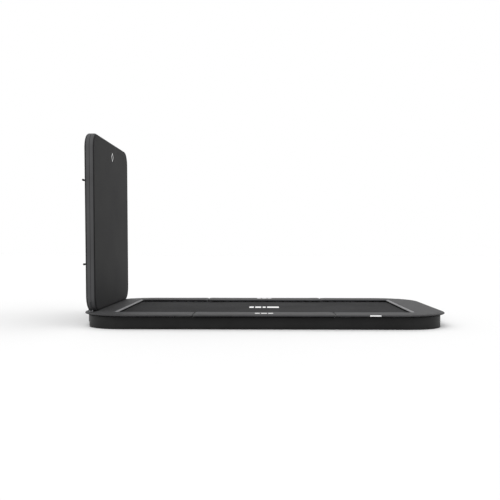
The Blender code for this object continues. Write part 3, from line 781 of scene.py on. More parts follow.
# %% Rails and ends
RAIL_RADIUS = 0.025
rail_low, rail_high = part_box("frame_rail_front")
RAIL_Y = -(rail_low.y + rail_high.y) / 2
RAIL_Z = (rail_low.z + rail_high.z) / 2
RAIL_JOINT_X = rail_high.x
RAIL_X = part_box("frame_end_right")[1].x - RAIL_RADIUS
RAIL_BEND = 0.34
for side, sign in LONG_SIDES:
    rail = wire(f"tube_rail_{side}", [(x, sign * RAIL_Y, RAIL_Z) for x in (-RAIL_JOINT_X, RAIL_JOINT_X)],
                RAIL_RADIUS, 6)
    dress(rail, "hot_dip_galvanised_steel", "base", [f"frame_rail_{side}"])
for side, sign in SHORT_SIDES:
    route = [(RAIL_JOINT_X + 0.0004, -RAIL_Y)]
    route += around(RAIL_X - RAIL_BEND, -RAIL_Y + RAIL_BEND, RAIL_BEND, -90, 0, 16)
    route += around(RAIL_X - RAIL_BEND, RAIL_Y - RAIL_BEND, RAIL_BEND, 0, 90, 16)
    route.append((RAIL_JOINT_X + 0.0004, RAIL_Y))
    bend = wire(f"tube_end_{side}", [(sign * x, y, RAIL_Z) for x, y in route], RAIL_RADIUS, 6)
    dress(bend, "hot_dip_galvanised_steel", "base", [f"frame_end_{side}"])

# %% Sleeves and bolts
SLEEVE_RADIUS = 0.0285
BOLT_OFFSET = 0.036
BOLT_HEAD = ((0.0075, 0.0), (0.0075, 0.0012), (0.0062, 0.0012), (0.0062, 0.0052), (0.0050, 0.0060))
for side, sign in LONG_SIDES:
    for end, end_sign in SHORT_SIDES:
        low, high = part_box(f"frame_coupler_{side}_{end}")
        start, length = Vector((low.x, sign * RAIL_Y, RAIL_Z)), high.x - low.x
        sleeve = turned("sleeve", ((0.0262, 0.0), (SLEEVE_RADIUS - 0.0008, 0.0), (SLEEVE_RADIUS, 0.0008),
                                   (SLEEVE_RADIUS, length - 0.0008), (SLEEVE_RADIUS - 0.0008, length),
                                   (0.0262, length)), aimed(start, (1, 0, 0)), 40)
        parts = [sleeve]
        for offset in (-BOLT_OFFSET, BOLT_OFFSET):
            spot = (start.x + length / 2 + offset, sign * RAIL_Y, RAIL_Z - SLEEVE_RADIUS + 0.0008)
            parts.append(turned("bolt", BOLT_HEAD, aimed(spot, (0, 0, -1)), 6))
        coupler = joined(f"rail_sleeve_{side}_{end}", parts)
        dress(coupler, "hot_dip_galvanised_steel", "base",
              [f"frame_coupler_{side}_{end}"])

# %% Feet
for number in range(1, 7):
    low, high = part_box(f"leg_{number}")
    middle = Vector(((low.x + high.x) / 2, (low.y + high.y) / 2, 0.0))
    plate = (high.x - low.x) / 2
    foot = turned("foot", ((plate - 0.001, 0.0), (plate, 0.001), (plate, 0.003), (plate - 0.001, 0.004),
                           (0.0205, 0.004), (0.0178, 0.0052), (0.017, 0.0085), (0.017, high.z - 0.004),
                           (0.0190, high.z - 0.001), (0.0180, high.z + 0.002)),
                  Matrix.Translation(middle), 36)
    foot.name = f"welded_foot_{number}"
    foot.data.name = foot.name
    dress(foot, "hot_dip_galvanised_steel", "base", [f"leg_{number}"])
print("frame done, rails at", round(RAIL_Y, 3), round(RAIL_Z, 3))

# %% [markdown]
# ## Edge pads
# A pad is a foam board in a tarpaulin sleeve. Cloth simulation is the way to a sewn, filled look: the block
# is remeshed into small even faces, blown up a little with pressure, and each point's travel is capped, so
# the top crowns and the edges round over as tight tarpaulin does.

# %% Swelling a block into a pad
PAD_VOXEL = 0.012
RIM_OF_PAD = 0.0095
PAD_CAP = 0.0045
PAD_CLOTH = {"quality": 4, "mass": 0.4, "tension_stiffness": 30.0, "compression_stiffness": 30.0,
             "bending_stiffness": 2.0, "use_pressure": True, "uniform_pressure_force": 4.0}
CLOTH_FRAMES = 20


def swell(piece):
    """Round a block's rims, remesh it, blow it up as cloth with its travel capped, and keep the result."""
    finish_with(piece, "BEVEL", width=RIM_OF_PAD, segments=4, limit_method="ANGLE",
                angle_limit=math.radians(50))
    smooth_block = twin(piece, "smooth_block", Matrix.Identity(4))
    finish_with(piece, "REMESH", mode="VOXEL", voxel_size=PAD_VOXEL)
    finish_with(piece, "SHRINKWRAP", target=smooth_block, wrap_method="NEAREST_SURFACEPOINT")
    bpy.data.objects.remove(smooth_block, do_unlink=True)
    finish_with(piece, "SMOOTH", factor=0.5, iterations=6)
    before = np.array([v.co for v in piece.data.vertices], float)
    cloth = piece.modifiers.new("cloth", "CLOTH")
    for name, value in PAD_CLOTH.items():
        setattr(cloth.settings, name, value)
    cloth.settings.effector_weights.gravity = 0.0
    for number in range(1, CLOTH_FRAMES + 1):
        scene.frame_set(number)
    only(piece)
    bpy.ops.object.modifier_apply(modifier=cloth.name)
    scene.frame_set(1)
    after = np.array([v.co for v in piece.data.vertices], float)
    travel = after - before
    length = np.linalg.norm(travel, axis=1, keepdims=True)
    after = before + travel * np.minimum(1.0, PAD_CAP / np.maximum(length, 1e-9))
    piece.data.vertices.foreach_set("co", after.astype(np.float32).ravel())
    piece.data.update()
    return finish_with(piece, "SMOOTH", factor=0.5, iterations=8)


# %% Fitting a swelled pad into its place
def fit_between(piece, low, high):
    """Scale a mesh along each axis so that it just fills a box."""
    points = np.array([v.co for v in piece.data.vertices], float)
    start, end = points.min(0), points.max(0)
    low, high = np.array(low), np.array(high)
    points = low + (points - start) * (high - low) / (end - start)
    piece.data.vertices.foreach_set("co", points.astype(np.float32).ravel())
    piece.data.update()
    return piece


# %% Block, opening and round corners
PAD_INSET = 0.005
pad_low, pad_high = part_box("side_pad_front")
PAD_TOP = pad_high.z
PAD_BOTTOM = pad_low.z
PAD_EDGE_Y = -pad_low.y
PAD_EDGE_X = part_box("end_pad_right")[1].x
SEAM_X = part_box("end_pad_right")[0].x
OPENING_HALF_WIDTH = -pad_high.y
OPENING_HALF_LENGTH = 1.645
PAD_CORNER_RADIUS = 0.55


def end_block(name, sign):
    """A C-shaped block over one short end."""
    low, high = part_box("end_pad_left" if sign < 0 else "end_pad_right")
    inset = Vector((PAD_INSET, PAD_INSET, PAD_INSET))
    piece = block(name, low + inset, high - inset)
    outer_x = max(sign * low.x, sign * high.x) - PAD_INSET
    edit(piece, "EDGE")
    pick(piece, "edges", lambda e: (abs(e.verts[0].co.z - e.verts[1].co.z) > 0.01
                                    and sign * e.verts[0].co.x > outer_x - 0.01))
    bpy.ops.mesh.bevel(offset=PAD_CORNER_RADIUS - PAD_INSET, segments=20, affect="EDGES")
    leave()
    reach = OPENING_HALF_LENGTH + PAD_INSET
    width = OPENING_HALF_WIDTH + PAD_INSET
    opening = block("opening", (-reach, -width, 0.0), (reach, width, 0.3))
    return cut_away(piece, opening)


# %% Four pads
HIGHLIGHT_BAND_WIDTH = 0.045
HIGHLIGHT_BAND_MARGIN = 0.008
HIGHLIGHT_BAND_DROP = 0.018
UPRIGHT_X = middle_of("wall_upright_front").x
UPRIGHT_Y = -middle_of("wall_upright_front").y
HOLE_IN_PAD = 0.020
pads = {}
for side in ("front", "back"):
    low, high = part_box(f"side_pad_{side}")
    inset = Vector((PAD_INSET, PAD_INSET, PAD_INSET))
    pads[side] = block(f"{side}_pad", low + inset, high - inset)
pads["left"] = end_block("left_pad", -1)
pads["right"] = end_block("right_pad", 1)
for side, pad in pads.items():
    swell(pad)
    low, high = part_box(f"side_pad_{side}" if side in ("front", "back") else f"end_pad_{side}")
    fit_between(pad, low + Vector((0.0002, 0.0, 0.0005)), high - Vector((0.0002, 0.0, 0.0005)))
    smooth(pad, 180)
    if side in ("left", "right"):
        sign = -1 if side == "left" else 1
        edit(pad)
        slice_at((sign * (OPENING_HALF_LENGTH + HIGHLIGHT_BAND_WIDTH), 0, 0), (1, 0, 0))
        leave()
    if side == "left":
        for sign in (-1, 1):
            bpy.ops.mesh.primitive_cylinder_add(vertices=48, radius=HOLE_IN_PAD, depth=0.2,
                                                location=(UPRIGHT_X, sign * UPRIGHT_Y, PAD_TOP))
            cut_away(pad, settle(named("hole")))
    body = f"{side}_pad" if side in ("front", "back") else "base"
    node = f"side_pad_{side}" if side in ("front", "back") else f"end_pad_{side}"
    dress(pad, "calendered_tarpaulin_grey", body, [node])
    print("pad", side, len(pad.data.polygons))

# %% [markdown]
# The pale strip along each short inner edge is painted highlight: a paler copy of the same tarpaulin stands
# for the light caught by the pad's rounded inner edge. It is a second material slot given to the faces that
# lie on it, with a row of stitches along its far side.

# %% Pale painted-highlight strips on the end pads
for side in ("left", "right"):
    pad = pads[side]
    # Faces on the inner edge's top and rounded lip take the pale tarpaulin as painted highlight.
    pad.data.materials.append(PAINT["painted_highlight_tarpaulin_pale"])
    for polygon in pad.data.polygons:
        centre = polygon.center
        across = abs(centre.x) - OPENING_HALF_LENGTH
        beside = abs(centre.y) < OPENING_HALF_WIDTH + HIGHLIGHT_BAND_MARGIN
        if beside and -HIGHLIGHT_BAND_MARGIN < across < HIGHLIGHT_BAND_WIDTH and centre.z > PAD_TOP - HIGHLIGHT_BAND_DROP:
            polygon.material_index = 1
    sign = -1 if side == "left" else 1
    x = sign * (OPENING_HALF_LENGTH + HIGHLIGHT_BAND_WIDTH - 0.004)
    seam = stitches(f"edge_stitching_{side}", (x, -OPENING_HALF_WIDTH, PAD_TOP - 0.0006),
                    (x, OPENING_HALF_WIDTH, PAD_TOP - 0.0006), (0, 0, 1))
    dress(seam, "polyester_thread_grey", "base")

# %% Welts round the outer edge
# A welted seam closes each sleeve: a cord in a folded tape, half sunk in the side of the pad.
WELT_RADIUS = 0.0021
WELT_Z = PAD_BOTTOM + 0.009
for side, sign in LONG_SIDES:
    reach = SEAM_X - 0.006
    welt = wire(f"pad_welt_{side}", [(-reach, sign * (PAD_EDGE_Y - 0.0008), WELT_Z),
                                     (reach, sign * (PAD_EDGE_Y - 0.0008), WELT_Z)], WELT_RADIUS, 2)
    dress(welt, "calendered_tarpaulin_black", f"{side}_pad")
for side, sign in SHORT_SIDES:
    edge_x, edge_y = PAD_EDGE_X - 0.0008, PAD_EDGE_Y - 0.0008
    bend = PAD_CORNER_RADIUS - 0.0008
    route = [(SEAM_X + 0.004, -edge_y)] + around(edge_x - bend, -edge_y + bend, bend, -90, 0, 28)
    route += around(edge_x - bend, edge_y - bend, bend, 0, 90, 28) + [(SEAM_X + 0.004, edge_y)]
    welt = wire(f"pad_welt_{side}", [(sign * x, y, WELT_Z) for x, y in route], WELT_RADIUS, 2)
    dress(welt, "calendered_tarpaulin_black", "base")

# %% Hinge flaps
# A strip of tarpaulin joins each side pad to the frame along its outer edge, so that the pad folds up.
FLAP_Z = PAD_BOTTOM - 0.0024
FLAP_THICKNESS = 0.0012
FLAP_WIDTH = 0.070
FLAP_INSET = 0.004
FLAP_REACH = SEAM_X - 0.012
for side, sign in LONG_SIDES:
    rows = sorted(sign * (PAD_EDGE_Y - FLAP_INSET - width) for width in (0.0, FLAP_WIDTH))
    flap = block(f"pad_hinge_flap_{side}", (-FLAP_REACH, rows[0], FLAP_Z),
                 (FLAP_REACH, rows[1], FLAP_Z + FLAP_THICKNESS))
    rounded(flap, 0.0004, 1)
    dress(smooth(flap), "calendered_tarpaulin_black", "base")

# %% [markdown]
# ## Printed marks
# Each mark is a plain print: bars on the bed and the pads, and a lozenge on the wall. A grid is cut into
# bars, pressed down onto its surface by a Shrinkwrap modifier, and given the thickness of an ink film.

# %% Bars on the pads and the bed
INK = 0.0004


def bars(name, length, width, height, gap_columns, columns=15, rows=4):
    """A row of bars: a grid with some columns left out."""
    bpy.ops.mesh.primitive_grid_add(x_subdivisions=columns, y_subdivisions=rows, size=1.0)
    piece = named(name)
    piece.scale = (length, width, 1.0)
    piece.location = (0.0, 0.0, height)
    settle(piece)
    edit(piece)
    pick(piece, "faces", lambda f: int((f.calc_center_median().x / length + 0.5) * columns) in gap_columns)
    bpy.ops.mesh.delete(type="FACE")
    leave()
    return piece


for side, sign in LONG_SIDES:
    mark = bars(f"pad_print_{side}", 0.20, 0.075, PAD_TOP + 0.02, (4, 10))
    mark.data.transform(Matrix.Translation((0.0, sign * (PAD_EDGE_Y - 0.16), 0.0)))
    finish_with(mark, "SHRINKWRAP", target=pads[side], wrap_method="PROJECT", use_project_z=True,
                use_negative_direction=True, use_positive_direction=False, offset=INK)
    finish_with(mark, "SOLIDIFY", thickness=INK, offset=0.0)
    dress(mark, "screen_print_white", f"{side}_pad")
mark = bars("bed_print", 0.37, 0.19, MAT_TOP + INK, (3, 8, 11), columns=20, rows=6)
mark.data.transform(Matrix.Translation((0.0, 0.06, 0.0)))
finish_with(mark, "SOLIDIFY", thickness=INK, offset=0.0)
dip_with_bed(dress(mark, "screen_print_white", None))

# %% Woven tag on the pad's side
TAG_X = 1.20
TAG_LENGTH = 0.12
tag = block("woven_tag", (TAG_X - TAG_LENGTH / 2, -PAD_EDGE_Y - 0.0022, PAD_BOTTOM + 0.012),
            (TAG_X + TAG_LENGTH / 2, -PAD_EDGE_Y - 0.0002, PAD_TOP - 0.004))
rounded(tag, 0.0007)
dress(smooth(tag), "screen_print_white", "base")

# %% [markdown]
# ## Skirt
# Black polyethylene panels close the frame against the soil. Straight panels are beveled blocks; a corner
# panel is one thin upright face spun a quarter turn.

# %% Skirt panels
skirt_low, skirt_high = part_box("skirt_front")
SKIRT_Y = -skirt_low.y
SKIRT_THICKNESS = skirt_high.y - skirt_low.y
SKIRT_TOP = skirt_high.z
STRAIGHT_X = skirt_high.x
STRAIGHT_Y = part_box("skirt_right")[1].y
SKIRT_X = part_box("skirt_right")[1].x
NOTCH_HALF_WIDTH = 0.024
RAIL_BOTTOM = RAIL_Z - RAIL_RADIUS
NOTCH_Z = (RAIL_BOTTOM - 0.023, RAIL_BOTTOM + 0.005)
for side in ("front", "back", "left", "right"):
    panel = block(f"skirt_panel_{side}", *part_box(f"skirt_{side}"))
    if side == "left":
        for y in (-UPRIGHT_Y, UPRIGHT_Y):
            cut_away(panel, block("notch", (-SKIRT_X - 0.02, y - NOTCH_HALF_WIDTH, NOTCH_Z[0]),
                                  (-SKIRT_X + 0.02, y + NOTCH_HALF_WIDTH, NOTCH_Z[1])))
    rounded(panel, 0.0012, limit_method="ANGLE")
    dress(smooth(panel), "moulded_polyethylene_black", "base", [f"skirt_{side}"])

# %% Skirt corners
BEND_STEPS = 20


def corner_panel(name, sign_x, sign_y):
    """A quarter-round panel: its upright end face, extruded and turned step by step about the corner."""
    outer = SKIRT_X - STRAIGHT_X
    bpy.ops.mesh.primitive_plane_add(size=1.0, location=(outer - SKIRT_THICKNESS / 2, 0.0, SKIRT_TOP / 2),
                                     rotation=(math.pi / 2, 0, 0))
    panel = named(name)
    panel.scale = (SKIRT_THICKNESS, SKIRT_TOP, 1.0)
    settle(panel)
    edit(panel)
    take_all()
    bpy.ops.mesh.spin(steps=BEND_STEPS, angle=math.pi / 2, center=(0, 0, 0), axis=(0, 0, 1))
    weld()
    face_outward()
    points = np.array([v.co for v in panel.data.vertices])
    flip_y = -1 if points[:, 1].mean() < 0 else 1
    panel.data.transform(Matrix.Diagonal((sign_x, sign_y * flip_y, 1, 1)))
    panel.data.transform(Matrix.Translation((sign_x * STRAIGHT_X, sign_y * STRAIGHT_Y, 0)))
    edit(panel)
    face_outward()
    rounded(panel, 0.0010, limit_method="ANGLE", angle_limit=math.radians(50))
    return smooth(panel)


for side_y, sign_y in LONG_SIDES:
    for side_x, sign_x in SHORT_SIDES:
        panel = corner_panel(f"skirt_bend_{side_y}_{side_x}", sign_x, sign_y)
        dress(panel, "moulded_polyethylene_black", "base",
              [f"skirt_corner_{side_y}_{side_x}"])
print("skirt at", round(SKIRT_X, 3), round(SKIRT_Y, 3))

# %% [markdown]
# ## The inflatable wall
# A drop-stitch panel stays flat however hard it is blown up, so it isn't a cushion: it is a flat slab with
# round corners and a rounded rim, closed all round by welded tapes. The slab is a cube whose four depth-wise
# edges are beveled wide, then its rim narrowly; the tapes are faces of the side, cut by bisect lines and
# lifted by their own thickness.

# %% Wall panel
wall_low, wall_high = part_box("wall_panel")
WALL_CORNER_RADIUS = 0.18
RIM_RADIUS = 0.026
wall = block("wall_drop_stitch_panel", wall_low, wall_high)
edit(wall, "EDGE")
pick(wall, "edges", lambda e: abs(e.verts[0].co.x - e.verts[1].co.x) > 0.05)
bpy.ops.mesh.bevel(offset=WALL_CORNER_RADIUS, segments=16, affect="EDGES")
pick(wall, "edges", lambda e: abs(e.verts[0].co.x - e.verts[1].co.x) < 0.001)
bpy.ops.mesh.bevel(offset=RIM_RADIUS, segments=6, affect="EDGES")
bpy.ops.mesh.select_mode(type="FACE")
pick(wall, "faces", lambda f: abs(f.normal.x) > 0.999 and f.calc_area() > 1.0)
bpy.ops.mesh.inset(thickness=0.01)
leave()

# %% Side tapes
TAPE_LIFT = 0.0012
WALL_DEPTH = wall_high.x - wall_low.x
TAPE_SHARES = (0.20, 0.53, 0.57, 0.90)
tape_edges = [wall_low.x + WALL_DEPTH * share for share in TAPE_SHARES]
edit(wall)
for x in tape_edges:
    slice_at((x, 0, 0), (1, 0, 0))


def on_tape(face):
    """Whether a face of the side lies under one of the two tapes."""
    x = face.calc_center_median().x
    under = tape_edges[0] < x < tape_edges[1] or tape_edges[2] < x < tape_edges[3]
    return abs(face.normal.x) < 0.95 and under


pick(wall, "faces", on_tape)
bpy.ops.mesh.extrude_region_shrink_fatten(TRANSFORM_OT_shrink_fatten={"value": TAPE_LIFT})
leave()
wall.data.materials.clear()
for paint in ("drop_stitch_pvc_charcoal", "side_tape_painted_highlight_grey", "welded_pvc_tape_dark"):
    wall.data.materials.append(PAINT[paint])
# The tape faces take the paler grey as painted highlight for the light on the side's bulge and round front
# edge; the rims and the gap between the tapes keep the darker side colour.
for polygon in wall.data.polygons:
    x = polygon.center.x
    if tape_edges[0] - 0.0005 < x < tape_edges[3] + 0.0005:
        in_gap = tape_edges[1] - 0.0003 < x < tape_edges[2] + 0.0003
        polygon.material_index = 2 if in_gap else 1
    else:
        polygon.material_index = 0 if abs(polygon.normal.x) > 0.7 else 2
smooth(wall, 40)
dress(wall, None, "wall", ["wall_panel"])
print("wall", len(wall.data.polygons))

# %% Lozenge on the wall
LOZENGE_RADIUS = 0.058
LOZENGE_LINE = 0.012
LOZENGE_Z = PAD_TOP + 1.83
bpy.ops.mesh.primitive_circle_add(vertices=4, radius=LOZENGE_RADIUS, fill_type="NGON")
lozenge = named("wall_print")
edit(lozenge)
take_all()
bpy.ops.mesh.inset(thickness=LOZENGE_LINE)
bpy.ops.mesh.delete(type="FACE")
leave()
finish_with(lozenge, "SOLIDIFY", thickness=INK, offset=0.0)
lozenge.data.transform(aimed((wall_high.x + INK, 0.0, LOZENGE_Z), (1, 0, 0)))
dress(lozenge, "screen_print_white", "wall")

# %% [markdown]
# ## The wall's rear frame
# Two black uprights drop into sockets on the end rail, and two crossbars hold the wall through webbing
# loops. Round parts are raised from a filled circle, step by step. The saddles, loops and sockets are welded
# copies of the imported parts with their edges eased, because their shape is already exact.

# %% Uprights and crossbars
UPRIGHT_RADIUS = 0.015
BAR_RADIUS = 0.010
for side, sign in LONG_SIDES:
    low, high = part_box(f"wall_upright_{side}")
    length = high.z - low.z
    profile = ((UPRIGHT_RADIUS - 0.002, 0.0), (UPRIGHT_RADIUS - 0.001, 0.0), (UPRIGHT_RADIUS, 0.001),
               (UPRIGHT_RADIUS, length - 0.004), (UPRIGHT_RADIUS - 0.0008, length - 0.003))
    tube = turned(f"upright_tube_{side}", profile,
                  Matrix.Translation((UPRIGHT_X, sign * UPRIGHT_Y, low.z)), 40)
    dress(tube, "powder_coated_steel_black", "wall", [f"wall_upright_{side}"])
    cap = turned(f"upright_cap_{side}", ((0.0150, 0.0), (0.0168, 0.001), (0.0168, 0.010), (0.0155, 0.0135),
                                         (0.0120, 0.0160), (0.0060, 0.0172)),
                 Matrix.Translation((UPRIGHT_X, sign * UPRIGHT_Y, high.z - 0.012)), 32)
    dress(cap, "moulded_nylon_black", "wall")
BAR_X = middle_of("wall_crossbar_low").x
BAR_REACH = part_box("wall_crossbar_low")[1].y
BAR_CAP_LAP = 0.022
BAR_CAP = ((0.0105, 0.0), (0.0118, 0.001), (0.0118, 0.022), (0.0105, 0.0245), (0.0080, 0.0255))
for level in ("low", "high"):
    low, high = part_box(f"wall_crossbar_{level}")
    z = (low.z + high.z) / 2
    profile = ((BAR_RADIUS - 0.001, 0.0), (BAR_RADIUS, 0.001), (BAR_RADIUS, 2 * BAR_REACH - 0.001),
               (BAR_RADIUS - 0.001, 2 * BAR_REACH))
    bar = turned(f"crossbar_tube_{level}", profile, aimed((BAR_X, -BAR_REACH, z), (0, 1, 0)), 32)
    dress(bar, "powder_coated_steel_black", "wall", [f"wall_crossbar_{level}"])
    for side, sign in LONG_SIDES:
        cap_place = (BAR_X, sign * (BAR_REACH - BAR_CAP_LAP), z)
        cap = turned(f"crossbar_cap_{side}_{level}", BAR_CAP, aimed(cap_place, (0, sign, 0)), 24)
        dress(cap, "epdm_rubber_black", "wall")

# %% Saddles and their screws
SCREW_HEAD = ((0.0040, 0.0), (0.0040, 0.0010), (0.0030, 0.0020), (0.0022, 0.0023), (0.0021, 0.0012))
for side, sign in LONG_SIDES:
    for level in ("low", "high"):
        saddle = eased(f"crossbar_saddle_{side}_{level}", f"saddle_block_{side}_{level}", 0.0016)
        dress(saddle, "moulded_nylon_black", "wall", [f"crossbar_saddle_{side}_{level}"])
        low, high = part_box(f"crossbar_saddle_{side}_{level}")
        heads = []
        for y in (low.y + 0.0055, high.y - 0.0055):
            for z in (low.z + 0.0045, high.z - 0.0045):
                heads.append(turned("head", SCREW_HEAD, aimed((low.x + 0.0004, y, z), (-1, 0, 0)), 14))
        screws = joined(f"saddle_screws_{side}_{level}", heads)
        dress(screws, "zinc_plated_spring_wire", "wall")

# %% Webbing loops
LOOP_EASE = 0.0004
for side, sign in LONG_SIDES:
    for level in ("low", "high"):
        loop = eased(f"back_loop_{side}_{level}", f"webbing_loop_{side}_{level}", LOOP_EASE, 1)
        dress(loop, "woven_nylon_webbing", "wall", [f"back_loop_{side}_{level}"])
        low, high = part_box(f"back_loop_{side}_{level}")
        middle = (low.z + high.z) / 2
        x = wall_low.x - 0.0024
        rows = []
        for z in (low.z + 0.005, middle - 0.022, middle + 0.022, high.z - 0.005):
            rows.append(stitches("row", (x, low.y + 0.004, z), (x, high.y - 0.004, z), (-1, 0, 0)))
        dress(joined(f"loop_stitching_{side}_{level}", rows), "polyester_thread_grey", "wall")

# %% Sockets, grommets and welds
GROMMET_RADIUS = 0.0032
BEAD_RADIUS = 0.0024
BEAD_STEP = 0.003
BEAD_POINTS = 13
for side, sign in LONG_SIDES:
    socket = eased(f"upright_socket_{side}", f"socket_tube_{side}", 0.0006)
    dress(socket, "powder_coated_steel_black", "base", [f"upright_socket_{side}"])
    y = sign * UPRIGHT_Y
    bpy.ops.mesh.primitive_torus_add(major_radius=HOLE_IN_PAD + 0.0022, minor_radius=GROMMET_RADIUS,
                                     major_segments=48, minor_segments=12,
                                     location=(UPRIGHT_X, y, PAD_TOP - 0.0005))
    grommet = named(f"socket_grommet_{side}")
    grommet.scale = (1.0, 1.0, 0.8)
    dress(smooth(settle(grommet), 180), "epdm_rubber_black", "base")
    beads = []
    for offset in (-0.008, 0.008):
        route = [(-RAIL_X + offset, y - 0.018 + BEAD_STEP * i, RAIL_BOTTOM + 0.0005 + 0.0004 * (i % 2))
                 for i in range(BEAD_POINTS)]
        beads.append(wire("bead", route, BEAD_RADIUS, 2))
    dress(joined(f"socket_weld_{side}", beads), "hot_dip_galvanised_steel", "base")

# %% [markdown]
# ## Clamp knobs
# A nylon knob with six hand notches turns a screw against the upright. The notches are cut by six arrayed
# cylinders, which keeps every notch alike.

# %% Two knobs
KNOB_NOTCHES = 6
for side, sign in LONG_SIDES:
    low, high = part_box(f"clamp_knob_{side}")
    radius = (high.x - low.x) / 2
    inner_y = min(abs(low.y), abs(high.y))
    outer_y = max(abs(low.y), abs(high.y))
    z = (low.z + high.z) / 2
    start = (UPRIGHT_X, sign * outer_y, z)
    length = outer_y - inner_y
    knob = turned("knob", ((0.0033, 0.0), (0.0033, 0.0028), (0.0070, 0.0034), (radius - 0.0014, 0.0042),
                           (radius, 0.0056), (radius, length - 0.0024), (radius - 0.0012, length - 0.0008),
                           (radius - 0.0032, length), (0.0045, length), (0.0040, length - 0.0010)),
                  Matrix.Identity(4), 48)
    for i in range(KNOB_NOTCHES):
        turn = 2 * math.pi * i / KNOB_NOTCHES
        reach = radius + 0.0022
        bpy.ops.mesh.primitive_cylinder_add(vertices=24, radius=0.0042, depth=0.04,
                                            location=(reach * math.cos(turn), reach * math.sin(turn), 0.025))
        cut_away(knob, settle(named("notch")))
    knob.data.transform(aimed(start, (0, -sign, 0)))
    knob.name = f"lobed_knob_{side}"
    dress(smooth(knob), "moulded_nylon_black", f"{side}_knob", [f"clamp_knob_{side}"])

# %% [markdown]
# ## Inflation valve
# A flanged ring welded to the wall's back, a sprung pin in its throat, and a cap on a short strap.

# %% Valve
valve_low, valve_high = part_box("valve_body")
VALVE_Y = (valve_low.y + valve_high.y) / 2
VALVE_Z = (valve_low.z + valve_high.z) / 2
VALVE_RADIUS = (valve_high.y - valve_low.y) / 2
valve_back = aimed((valve_high.x, VALVE_Y, VALVE_Z), (-1, 0, 0))
height = valve_high.x - valve_low.x
ring = turned("valve_ring", ((VALVE_RADIUS - 0.001, 0.0), (VALVE_RADIUS, 0.001), (VALVE_RADIUS, 0.0030),
                             (VALVE_RADIUS - 0.0012, 0.0038), (VALVE_RADIUS - 0.0012, height - 0.0022),
                             (VALVE_RADIUS - 0.0030, height - 0.0004), (VALVE_RADIUS - 0.0045, height),
                             (0.0125, height), (0.0120, height - 0.0006), (0.0120, 0.0035), (0.0055, 0.0030),
                             (0.0055, 0.0004)), valve_back, 48)
dress(ring, "moulded_nylon_black", "wall", ["valve_body"])
PIN_PROFILE = ((0.0038, 0.0), (0.0040, 0.0004), (0.0040, 0.0036), (0.0034, 0.0043), (0.0020, 0.0045))
pin_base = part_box("valve_pin")[1].x
pin = turned("sprung_pin", PIN_PROFILE, aimed((pin_base, VALVE_Y, VALVE_Z), (-1, 0, 0)), 20)
dress(pin, "moulded_nylon_black", "valve_pin", ["valve_pin"])
cap_low, cap_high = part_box("valve_cap")
CAP_RADIUS = (cap_high.y - cap_low.y) / 2
CAP_RIBS = 24
profile = ((CAP_RADIUS - 0.0012, 0.0), (CAP_RADIUS - 0.0006, 0.0006), (CAP_RADIUS - 0.0006, 0.0040),
           (CAP_RADIUS - 0.0030, 0.0054), (CAP_RADIUS - 0.0060, 0.0058), (0.0080, 0.0050), (0.0060, 0.0050))
cap = turned("cap", profile, Matrix.Identity(4), 48)
ribs = [cap]
for i in range(CAP_RIBS):
    rib = block("rib", (CAP_RADIUS - 0.0020, -0.0007, 0.0008), (CAP_RADIUS, 0.0007, 0.0038))
    rib.data.transform(Matrix.Rotation(2 * math.pi * i / CAP_RIBS, 4, "Z"))
    ribs.append(rib)
ribs.append(block("strap", (-0.004, CAP_RADIUS - 0.003, 0.0), (0.004, CAP_RADIUS + 0.0022, 0.0014)))
ribbed = joined("ribbed_valve_cap", ribs[::-1])
ribbed.data.transform(Matrix.Rotation(-math.pi / 2, 4, "Y"))
ribbed.data.transform(Matrix.Translation((cap_high.x, VALVE_Y, VALVE_Z)))
dress(smooth(ribbed), "moulded_nylon_black", "valve_cap", ["valve_cap"])

# %% [markdown]
# ## Tie-downs under the wall's lower corners
# A strap sewn to the wall's round lower corner runs through a steel buckle on the pad, where a cam lever
# bites on it. A flat strap is a mesh written point by point: four corners at each step of its path, joined
# into faces.


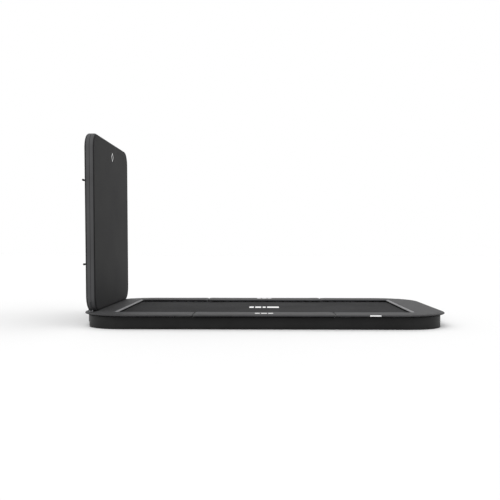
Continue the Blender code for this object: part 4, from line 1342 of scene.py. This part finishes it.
# %% A flat strap along a path
def strap(name, x, width, thickness, path):
    """A flat strap of this width across X, along points of (y, z)."""
    half = thickness / 2
    verts, faces = [], []
    count = len(path)
    for i, (y, z) in enumerate(path):
        before, after = path[max(i - 1, 0)], path[min(i + 1, count - 1)]
        run = Vector((after[0] - before[0], after[1] - before[1])).normalized()
        out = Vector((-run.y, run.x)) * half
        for side_x in (-width / 2, width / 2):
            verts.append((x + side_x, y - out.x, z - out.y))
            verts.append((x + side_x, y + out.x, z + out.y))
    for i in range(count - 1):
        a, b = 4 * i, 4 * (i + 1)
        for p, q in ((0, 1), (1, 3), (3, 2), (2, 0)):
            faces.append((a + p, a + q, b + q, b + p))
    faces += [(0, 2, 3, 1), (4 * count - 4, 4 * count - 3, 4 * count - 1, 4 * count - 2)]
    data = bpy.data.meshes.new(name)
    data.from_pydata(verts, [], faces)
    piece = bpy.data.objects.new(name, data)
    scene.collection.objects.link(piece)
    edit(piece)
    face_outward()
    rounded(piece, 0.0003, 1, limit_method="ANGLE", angle_limit=math.radians(60))
    return smooth(piece)


# %% Buckles, levers and straps
STRAP_WIDTH = 0.022
STRAP_THICKNESS = 0.0014
BUCKLE_X = middle_of("tie_buckle_front").x
CORNER_Y = wall_high.y - WALL_CORNER_RADIUS
CORNER_Z = wall_low.z + WALL_CORNER_RADIUS
ON_WALL = WALL_CORNER_RADIUS + TAPE_LIFT + 0.001
for side, sign in LONG_SIDES:
    buckle = eased(f"tie_buckle_{side}", f"steel_buckle_{side}", 0.0005)
    dress(buckle, "zinc_plated_spring_wire", "base", [f"tie_buckle_{side}"])
    lever = eased(f"tie_lever_{side}", f"cam_lever_{side}", 0.0004)
    dress(lever, "moulded_nylon_black", f"{side}_lever", [f"tie_lever_{side}"])
    on_corner = around(CORNER_Y, CORNER_Z, ON_WALL, -22, -56, 14)
    floor_z = PAD_TOP + 0.0047
    path = on_corner + [(0.9262, 0.1700), (0.9320, 0.1610), (0.9400, floor_z + 0.0006), (0.9450, floor_z),
                        (0.9650, floor_z), (0.9760, floor_z + 0.0004), (0.9840, floor_z + 0.0010),
                        (0.9930, floor_z + 0.0006)]
    mirrored = [(sign * y, z) for y, z in path]
    tie = strap(f"tie_strap_{side}", BUCKLE_X, STRAP_WIDTH, STRAP_THICKNESS, mirrored)
    dress(tie, "woven_nylon_webbing", "wall")

low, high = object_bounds()
print("visual box", [round(v, 3) for v in (*low, *high)])
